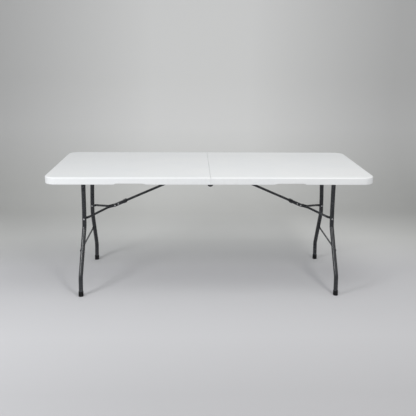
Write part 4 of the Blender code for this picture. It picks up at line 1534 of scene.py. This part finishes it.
@dataclass
class LegPair(Assembly):
    """A pair of bent legs on their pivot tube, with crossbar, foot caps, welds and rivets."""

    tube_radius: float = 0.0127
    tube_sides: int = 36
    tube_edge: float = 0.0004
    pivot_radius: float = 0.0095
    pivot_bore: float = 0.0080
    cope_share: float = 0.6
    bore_depth: float = 0.030
    top_spread: float = 0.163
    waist_spread: float = 0.1475
    waist_top: float = 0.2315
    flare_top: float = 0.3295
    flare_above_floor: float = 0.118
    bend_radius: float = 0.060
    bend_step: float = math.radians(3)
    cap_floor: float = 0.005
    cap_height: float = 0.0315
    cap_wall: float = 0.0015
    cap_rim: tuple[Pair, ...] = ((0.0, 0.0040), (0.0003, 0.0012), (0.0007, 0.0003), (0.0012, 0.0))
    cap_mouth: Pair = (0.00005, 0.0006)
    groove: tuple[Pair, ...] = ((0.0, 0.0), (0.0004, 0.0004), (0.0004, 0.0012), (0.0, 0.0016))
    groove_start: float = 0.0070
    groove_pitch: float = 0.0034
    grooves: int = 3
    sole_inset: float = 0.0035
    sole_round: float = 0.0010
    sole_depth: float = 0.0002
    sole_lift: float = 0.0001
    crossbar_radius: float = 0.005
    crossbar_chamfer: float = 0.0008
    weld_radius: float = 0.0020
    weld_height_share: float = 0.8
    weld_ripples: int = 9
    weld_ripple_share: float = 0.16
    weld_end_share: float = 0.2
    weld_end_power: int = 6
    weld_sides: int = 10
    weld_steps: int = 32
    top_weld_share: float = 0.90
    top_weld_steps: int = 30
    top_weld_lean: Pair = (0.4, -0.6)
    crossbar_weld_share: float = 1.15
    crossbar_weld_lean: float = 0.7
    crossbar_weld_limit: float = 0.97
    rivet_head_radius: float = 0.0050
    rivet_head_height: float = 0.0020
    rivet_shank_radius: float = 0.0025
    rivet_shank_gap: float = 0.0004

    def __post_init__(self) -> None:
        """Read the pair's place from the frame."""
        self.pivot = joint_place(self.label + "_leg_fold")
        self.body = self.label + "_legs"
        foot = middle_of(self.label + "_rear_foot_cap")
        self.foot_spread = foot.y
        self.splay = math.atan2(abs(foot.x - self.pivot.x), self.pivot.z - foot.z)
        self.length = self.pivot.z / math.cos(self.splay)
        self.flare_end = self.length - self.flare_above_floor
        turn = Matrix.Rotation(-self.side.value * self.splay, 4, "Y")
        self.place = Matrix.Translation(self.pivot) @ turn

    def leg(self, row: Row) -> Shape:
        """Bent tube of a leg, from inside the pivot tube to the foot cap's floor.

        Args:
            row: Long side of the table that it is on.

        Returns:
            The tube.
        """
        corners = [
            (0.0, row.value * self.top_spread, -self.pivot_radius * self.cope_share),
            (0.0, row.value * self.waist_spread, -self.waist_top),
            (0.0, row.value * self.waist_spread, -self.flare_top),
            (0.0, row.value * self.foot_spread, -self.flare_end),
            (0.0, row.value * self.foot_spread, -(self.length - self.cap_floor - FIT)),
        ]
        path = filleted(corners, self.bend_radius, self.bend_step)
        sections = [(self.tube_radius, self.tube_radius, 2.0)] * len(path)
        return sweep(path, sections, Vector((1, 0, 0)), self.tube_sides)

    def bead(self, path: Path, outward: Path) -> Shape:
        """Weld bead along a path, rippled like laid metal.

        Args:
            path: Line of the joint.
            outward: Direction away from the joint at each point.

        Returns:
            The bead.
        """
        rings = []
        section = rounded(1.0, 1.0, self.weld_sides)
        for place, centre in enumerate(path):
            share = place / (len(path) - 1)
            up = outward[place].normalized()
            across = direction_at(path, place).cross(up)
            ripple = 1.0 + self.weld_ripple_share * math.sin(self.weld_ripples * FULL_TURN * share)
            taper = math.sqrt(max(self.weld_end_share ** 2, 1 - (2 * share - 1) ** self.weld_end_power))
            radius = self.weld_radius * ripple * taper
            height = self.weld_height_share
            rings.append([centre + (up * v * height + across * u) * radius for u, v in section])
        return loft(rings)

    def top_welds(self, row: Row) -> list[Shape]:
        """Two beads where a leg meets the pivot tube, in front and behind.

        Args:
            row: Long side of the table that it is on.

        Returns:
            The beads.
        """
        beads = []
        lean_x, lean_z = self.top_weld_lean
        for way in BOTH_WAYS:
            path, outward = [], []
            for step in range(self.top_weld_steps + 1):
                x = self.pivot_radius * self.top_weld_share * (2 * step / self.top_weld_steps - 1)
                y = row.value * self.top_spread + way * math.sqrt(self.tube_radius ** 2 - x ** 2)
                path.append(Vector((x, y, -math.sqrt(self.pivot_radius ** 2 - x ** 2))))
                outward.append(Vector((x * lean_x, way, lean_z)))
            beads.append(self.bead(path, outward))
        return beads

    def crossbar(self) -> tuple[Shape, list[Shape]]:
        """Crossbar between the flares, with a bead at each end.

        Returns:
            The bar, and its beads.
        """
        centre = self.place.inverted() @ middle_of(self.label + "_leg_crossbar")
        share = (-centre.z - self.flare_top) / (self.flare_end - self.flare_top)
        spread = self.waist_spread + share * (self.foot_spread - self.waist_spread)
        radius = self.crossbar_radius
        narrow, full = radius - self.crossbar_chamfer, spread - self.crossbar_chamfer
        profile = [(narrow, -spread), (radius, -full), (radius, full), (narrow, spread)]
        slope = math.atan2(self.foot_spread - self.waist_spread, self.flare_end - self.flare_top)
        surface = math.sqrt(self.tube_radius ** 2 - centre.x ** 2)
        end = spread - surface / math.cos(slope)
        limit = self.crossbar_weld_limit
        beads = []
        for row in Row:
            path, outward = [], []
            for step in range(self.weld_steps + 1):
                angle = FULL_TURN * step / self.weld_steps
                x, z = polar(radius * self.crossbar_weld_share, angle)
                off_axis = max(-limit, min(limit, (centre.x + x) / self.tube_radius))
                reach = self.tube_radius * math.sqrt(1 - off_axis ** 2) - surface
                y = row.value * (end - reach / math.cos(slope) - z * math.tan(slope))
                path.append(Vector((centre.x + x, y, centre.z + z)))
                outward.append(
                    Vector((math.cos(angle), -row.value * self.crossbar_weld_lean, math.sin(angle)))
                )
            beads.append(self.bead(path, outward))
        return lathe(profile, sides=24, place=along_y(centre)), beads

    def foot_cap(self, row: Row) -> Shape:
        """Moulded cup over a leg's end, ringed, with its sole cut level with the floor.

        Args:
            row: Long side of the table that it is on.

        Returns:
            The cup.
        """
        sole = -self.length
        bore = self.tube_radius + FIT
        outer = bore + self.cap_wall
        top = sole + self.cap_height
        turned_in = outer - self.sole_round
        profile = [(outer - self.sole_inset, sole), (turned_in, sole)]
        profile += arc((turned_in, sole + self.sole_round), self.sole_round, 300, 360, steps=4)
        for groove in range(self.grooves):
            start = sole + self.groove_start + groove * self.groove_pitch
            profile += [(outer - depth, start + along) for depth, along in self.groove]
        profile += [(outer - inward, top - down) for inward, down in self.cap_rim]
        profile += [(bore + self.cap_mouth[0], top), (bore, top - self.cap_mouth[1])]
        profile.append((bore, sole + self.cap_floor))
        foot = Matrix.Translation((0.0, row.value * self.foot_spread, 0.0))
        shape = lathe(profile, sides=40, place=foot)
        for corner in shape.verts:
            floor = sole + self.sole_lift - self.side.value * corner.co.x * math.tan(self.splay)
            corner.co.z = floor if corner.co.z < sole + self.sole_depth else max(corner.co.z, floor)
        return shape

    def pivot_tube(self) -> Shape:
        """Round tube that the legs hang on, open at its ends.

        Returns:
            The tube.
        """
        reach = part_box(self.label + "_pivot_tube")[1].y
        profile = [
            (self.pivot_bore, self.bore_depth - reach),
            (self.pivot_bore, self.tube_edge - reach),
            (self.pivot_bore + self.tube_edge, -reach),
            (self.pivot_radius - self.tube_edge, -reach),
            (self.pivot_radius, self.tube_edge - reach),
        ]
        profile += [(radius, -along) for radius, along in reversed(profile)]
        return lathe(profile, self.tube_sides, along_y(Vector((0.0, 0.0, 0.0))))

    def rivet(self, row: Row, fasteners: Fasteners) -> Shape:
        """Rivet through a leg's waist: its head outside, and its shank through the tube.

        Args:
            row: Long side of the table that it is on.
            fasteners: Maker of the head and shank.

        Returns:
            The rivet.
        """
        height = (self.place.inverted() @ middle_of(f"{self.label}_{row.label}_leg_rivet")).z
        face = self.waist_spread + self.tube_radius - SINK
        place = along_y(Vector((0.0, row.value * face, height)), row.value)
        head = fasteners.button(place, self.rivet_head_radius, self.rivet_head_height)
        shank_end = self.rivet_shank_gap - 2 * self.tube_radius
        return merge([head, fasteners.shank(place, self.rivet_shank_radius, shank_end, 0.0)])

    def build(self, shop: Workshop, fasteners: Fasteners) -> None:
        """Build the pair.

        Args:
            shop: Where pieces are set.
            fasteners: Maker of the rivets.
        """

        def add(node: str, ending: str, shape: Shape, slot: Slot) -> None:
            """Set a piece of the pair in place of its node."""
            shop.add(node + ending, place_shape(shape, self.place), slot, self.body, [node])

        tube = place_shape(self.pivot_tube(), self.place)
        shop.add(self.label + "_pivot_bar", tube, Slot.LEG, self.body, [self.label + "_pivot_tube"])
        rod, beads = self.crossbar()
        add(self.label + "_leg_crossbar", "_rod", rod, Slot.LEG)
        for row in Row:
            node = f"{self.label}_{row.label}_leg"
            add(node, "_tube", self.leg(row), Slot.LEG)
            beads += self.top_welds(row)
            add(f"{self.label}_{row.label}_foot_cap", "_moulding", self.foot_cap(row), Slot.CAP)
            add(node + "_rivet", "_head", self.rivet(row, fasteners), Slot.STEEL)
        welds = place_shape(merge(beads), self.place)
        shop.add(self.label + "_leg_welds", welds, Slot.LEG, self.body)


# Braces


@dataclass
class Brace(Assembly):
    """Strut, knuckle channel, two arms and lock ring that hold a pair of legs open."""

    strut_half_width: float = 0.0084
    strut_half_height: float = 0.0072
    strut_squareness: float = 2.6
    strut_edge: float = 0.0006
    strut_end_gap: float = 0.014
    channel_sheet: float = 0.0015
    channel_inner: float = 0.0087
    channel_half_height: float = 0.009
    channel_length: float = 0.091
    channel_overhang: float = 0.010
    channel_bend: float = 0.0022
    channel_corner: float = 0.006
    channel_corner_steps: int = 5
    rivet_shares: Pair = (0.24, 0.75)
    rivet_radius: float = 0.0044
    rivet_height: float = 0.0014
    flush_rivet_height: float = 0.00045
    pin_head_radius: float = 0.005
    pin_head_height: float = 0.0018
    pin_radius: float = 0.003
    pin_play: float = 0.0002
    arm_radius: float = 0.0068
    eye_half_thickness: float = 0.002
    eye_half_height: float = 0.0074
    eye_squareness: float = 3.0
    eye_spread: float = 0.0125
    eye_flat: float = 0.012
    arm_parallel: float = 0.042
    arm_leg_stretch: float = 0.024
    arm_bend_radius: float = 0.026
    arm_bend_step: float = math.radians(6)
    arm_leg_spread: float = 0.1323
    ring_sheet: float = 0.0012
    ring_length: float = 0.018
    ring_corner: float = 0.004
    ring_waist: float = 0.00024
    ring_rim: tuple[Pair, ...] = ((0.0, 0.0), (0.5, 0.0), (0.9, 0.0003), (1.0, 0.0008))
    ring_roll: float = 0.0025

    def __post_init__(self) -> None:
        """Read the brace's three pivots from the frame."""
        pin = joint_place(self.label + "_strut_swing")
        knuckle = joint_place(self.label + "_knuckle_swing")
        eye = middle_of(self.label + "_rear_brace_rivet")
        self.strut_length, self.strut_place = self.link(pin, knuckle)
        self.arm_length, self.arm_place = self.link(knuckle, Vector((eye.x, knuckle.y, eye.z)))

    def link(self, start: Vector, end: Vector) -> tuple[float, Matrix]:
        """Length of a link between two pivots, and the place that turns its frame along it.

        Args:
            start: First pivot.
            end: Second pivot.

        Returns:
            The length and the place.
        """
        along = end - start
        slope = math.atan2(-along.z, abs(along.x))
        turn = Matrix.Rotation(self.side.value * slope, 4, "Y")
        return along.length, Matrix.Translation(start) @ turn

    def strut(self) -> Shape:
        """Oval tube from the bracket's pin to just short of the knuckle.

        Returns:
            The tube.
        """
        width, height, soft = self.strut_half_width, self.strut_half_height, self.strut_edge
        end = self.strut_length - self.strut_end_gap
        stations = [(-height * reach, width, height * share) for reach, share in round_end(steps=8)]
        stations += [(end - soft, width, height), (end, width - soft, height - soft)]
        path = [self.side.point(u, 0.0, 0.0) for u, _, _ in stations]
        sections = [(half_in, half_across, self.strut_squareness) for _, half_in, half_across in stations]
        return sweep(path, sections, across=Vector((0, 0, 1)), sides=28)

    def channel(self) -> Shape:
        """Folded channel round the strut's lower end, with rounded cheeks.

        Returns:
            The channel.
        """
        half, low = self.channel_sheet / 2, -self.channel_half_height
        side, top = self.channel_inner + half, self.channel_half_height - half
        line = [(-side, low), (-side, top), (side, top), (side, low)]
        section = sheet_section(line, self.channel_sheet, self.channel_bend)
        end = self.strut_length + self.channel_overhang
        start = end - self.channel_length
        stations = []
        for step in range(self.channel_corner_steps + 1):
            angle = QUARTER_TURN * step / self.channel_corner_steps
            along = start + self.channel_corner * (1 - math.cos(angle))
            stations.append((along, self.channel_corner * (1 - math.sin(angle))))
        stations += [(start + end - along, lift) for along, lift in reversed(stations)]
        point = self.side.point
        return loft([[point(u, y, max(z, low + lift)) for y, z in section] for u, lift in stations])

    def arm(self, row: Row) -> Shape:
        """Rod from the knuckle to a leg, pressed flat at both eyes.

        Args:
            row: Long side of the table that it is on.

        Returns:
            The rod.
        """
        point = self.side.point
        knuckle_y, leg_y = row.value * self.eye_spread, row.value * self.arm_leg_spread
        thin, tall, square = self.eye_half_thickness, self.eye_half_height, self.eye_squareness
        corners = [
            point(0.0, knuckle_y, 0.0),
            point(self.arm_parallel, knuckle_y, 0.0),
            point(self.arm_length - self.arm_leg_stretch, leg_y, 0.0),
            point(self.arm_length, leg_y, 0.0),
        ]
        middle = filleted(corners, self.arm_bend_radius, self.arm_bend_step)[1:-1]
        eye = [(reach * tall, share * tall) for reach, share in round_end(steps=6)]
        path = [point(-reach, knuckle_y, 0.0) for reach, _ in eye]
        path += [middle[0] - point(self.eye_flat, 0.0, 0.0), *middle]
        path += [point(self.arm_length + reach, leg_y, 0.0) for reach, _ in reversed(eye)]
        sections = [(thin, half_height, square) for _, half_height in eye]
        sections.append((thin, tall, square))
        ramp = len(middle) // 2 - 1
        for place in range(len(middle)):
            share = min(1.0, min(place, len(middle) - 1 - place) / ramp) ** 2
            round_in, round_across = (half + share * (self.arm_radius - half) for half in (thin, tall))
            sections.append((round_in, round_across, square - share))
        sections += [(thin, half_height, square) for _, half_height in reversed(eye)]
        return sweep(path, sections, across=Vector((0, 0, 1)), sides=24)

    def lock_ring(self) -> Shape:
        """Flat loop round the channel with rolled rims.

        Returns:
            The loop.
        """
        low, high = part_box(self.label + "_lock_ring")
        middle = self.strut_place.inverted() @ ((low + high) / 2)
        half_width = (high.y - low.y) / 2 - self.ring_sheet
        half_height = self.channel_half_height + FIT
        rim = [(self.ring_sheet * share, run) for share, run in self.ring_rim]
        rim.append((self.ring_sheet - self.ring_waist, self.ring_roll))
        start, end = middle.x - self.ring_length / 2, middle.x + self.ring_length / 2
        wall = [(grown, start + run) for grown, run in rim]
        wall += [(grown, end - run) for grown, run in reversed(rim)]
        rings = []
        for grown, x in wall:
            radius = self.ring_corner + grown
            loop = round_cornered(half_width + grown, half_height + grown, radius, steps=7)
            rings.append([Vector((x, y, z)) for y, z in loop])
        return loft(rings, looped=True)

    def build(self, shop: Workshop, fasteners: Fasteners) -> None:
        """Build the brace.

        Args:
            shop: Where pieces are set.
            fasteners: Maker of the rivets and pins.
        """
        label, point = self.label, self.side.point

        def add(name: str, shape: Shape, slot: Slot, node: str, bevel: float = 0.0) -> None:
            """Set a piece of the strut in place of a node."""
            place_shape(shape, self.strut_place)
            shop.add(name, shape, slot, label + "_strut", [node], bevel)

        add(label + "_strut_bar", self.strut(), Slot.LEG, label + "_strut_tube")
        add(label + "_knuckle_fold", self.channel(), Slot.LEG, label + "_knuckle_channel", SHEET_EDGE)
        face = self.channel_inner + self.channel_sheet - SINK
        heights = (self.flush_rivet_height, self.rivet_height)
        for name, share, height in zip(("lower", "upper"), self.rivet_shares, heights):
            centre = point(self.strut_length - share * self.channel_length, 0.0, 0.0)
            node = f"{label}_{name}_channel_rivet"
            heads = merge(fasteners.buttons(centre, face, self.rivet_radius, height))
            add(node + "_heads", heads, Slot.STEEL, node)
        knuckle = point(self.strut_length, 0.0, 0.0)
        reach = self.eye_spread + self.eye_half_thickness + self.pin_play
        pin = [fasteners.shank(along_y(knuckle), self.pin_radius, -reach, reach)]
        pin += fasteners.buttons(knuckle, reach, self.pin_head_radius, self.pin_head_height)
        add(label + "_knuckle_pin_steel", merge(pin), Slot.STEEL, label + "_knuckle_pin")
        for row in Row:
            node = f"{label}_{row.label}_brace_arm"
            arm = place_shape(self.arm(row), self.arm_place)
            shop.add(node + "_rod", arm, Slot.LEG, label + "_brace", [node])
            eye = point(self.arm_length, row.value * (self.arm_leg_spread - self.eye_half_thickness), 0.0)
            head = fasteners.button(along_y(eye, -row.value), self.rivet_radius, self.rivet_height)
            node = f"{label}_{row.label}_brace_rivet"
            head = place_shape(head, self.arm_place)
            shop.add(node + "_head", head, Slot.STEEL, label + "_brace", [node])
        ring = place_shape(self.lock_ring(), self.strut_place)
        shop.add(label + "_lock_loop", ring, Slot.LEG, label + "_ring", [label + "_lock_ring"])


# Studio


@dataclass(frozen=True)
class Lamp:
    """Soft rectangular lamp, hidden from the camera, with its power in watts."""

    name: str
    place: Triple
    size: Pair
    power: float
    tint: Colour

    def hang(self, aim: Vector) -> None:
        """Set the lamp in the scene, pointing at a place.

        Args:
            aim: The place that it points at.
        """
        lamp = bpy.data.lights.new(self.name, "AREA")
        lamp.shape = "RECTANGLE"
        lamp.size, lamp.size_y = self.size
        lamp.energy = self.power
        lamp.color = self.tint
        holder = bpy.data.objects.new(self.name, lamp)
        holder.location = self.place
        holder.rotation_mode = "QUATERNION"
        holder.rotation_quaternion = (aim - Vector(self.place)).to_track_quat("-Z", "Y")
        holder.visible_camera = False
        bpy.context.scene.collection.objects.link(holder)


@dataclass
class Studio:
    """Pale paper sweep, soft lamps and the camera at the photograph's angle."""

    camera_place: Triple = (-0.1072, -3.4465, 1.4483)
    yaw: float = 0.0307
    pitch: float = 0.2805
    roll: float = 0.0082
    focal_pixels: float = 574.85
    image_pixels: float = 416.0
    sensor: float = 36.0
    clip_span: Pair = (0.05, 60.0)
    sweep_front: float = -9.0
    sweep_back: float = 2.6
    sweep_bend: float = 1.1
    sweep_height: float = 9.0
    sweep_half_width: float = 11.0
    lit_place: Triple = (0.0, 0.1, 0.45)
    lamps: tuple[Lamp, ...] = (
        Lamp("left_lamp", (-2.1, -1.9, 1.6), (0.7, 0.7), 27.5, (0.97, 0.985, 1.0)),
        Lamp("right_lamp", (1.5, -2.7, 3.2), (0.7, 0.7), 37.0, (1.0, 0.985, 0.965)),
        Lamp("top_lamp", (0.5, -0.9, 2.7), (1.2, 0.8), 13.0, (1.0, 0.995, 0.985)),
    )
    room_tint: Colour = (0.97, 0.985, 1.0)
    room_strength: float = 0.59

    def build_sweep(self) -> None:
        """Build the paper sweep of floor, bend and wall."""
        bend = self.sweep_bend
        profile = [(self.sweep_front, 0.0)]
        profile += arc((self.sweep_back - bend, bend), bend, 270, 360, steps=24)
        profile.append((self.sweep_back, self.sweep_height))
        shape = bmesh.new()
        left, right = (
            [shape.verts.new((x, y, z)) for y, z in profile]
            for x in (-self.sweep_half_width, self.sweep_half_width)
        )
        for corners in zip(left, right, right[1:], left[1:]):
            shape.faces.new(corners)
        paper = set_in_scene("paper_sweep", shape, Backdrop().material())
        log.info("paper_sweep: floor and wall")

    def build_light(self) -> None:
        """Hang two soft lamps in front, one above, and fill the room with plain light."""
        for lamp in self.lamps:
            lamp.hang(Vector(self.lit_place))
        world = bpy.data.worlds.new("studio_room")
        world.use_nodes = True
        background = world.node_tree.nodes["Background"]
        background.inputs["Color"].default_value = opaque(self.room_tint)
        background.inputs["Strength"].default_value = self.room_strength
        bpy.context.scene.world = world

    def build_camera(self) -> None:
        """Set the camera."""
        ahead = math.cos(self.pitch)
        forward = Vector((math.sin(self.yaw) * ahead, math.cos(self.yaw) * ahead, -math.sin(self.pitch)))
        level = Vector((math.cos(self.yaw), -math.sin(self.yaw), 0.0))
        plumb = level.cross(forward)
        right = level * math.cos(self.roll) + plumb * math.sin(self.roll)
        up = plumb * math.cos(self.roll) - level * math.sin(self.roll)
        turn = Matrix((right, up, -forward)).transposed()
        data = bpy.data.cameras.new("camera")
        data.sensor_width = self.sensor
        data.lens = self.focal_pixels * self.sensor / self.image_pixels
        data.clip_start, data.clip_end = self.clip_span
        camera = bpy.data.objects.new("camera", data)
        camera.matrix_world = Matrix.Translation(self.camera_place) @ turn.to_4x4()
        bpy.context.scene.collection.objects.link(camera)
        bpy.context.scene.camera = camera

    def build(self) -> None:
        """Build the whole studio."""
        self.build_sweep()
        self.build_light()
        self.build_camera()
        bpy.context.scene.view_settings.view_transform = "Standard"


def main() -> None:
    logging.basicConfig(level=logging.INFO, format="%(message)s")
    Studio().build()
    shop = Workshop()
    fasteners = Fasteners()
    for side in Side:
        TopHalf(side).build(shop)
        for row in Row:
            Rail(side, row).build(shop, fasteners)
            Saddle(side, row).build(shop, fasteners)
        StrutBracket(side).build(shop, fasteners)
        LegPair(side).build(shop, fasteners)
        Brace(side).build(shop, fasteners)
    for row in Row:
        CentreHinge(row).build(shop, fasteners)


if __name__ == "__main__":
    main()
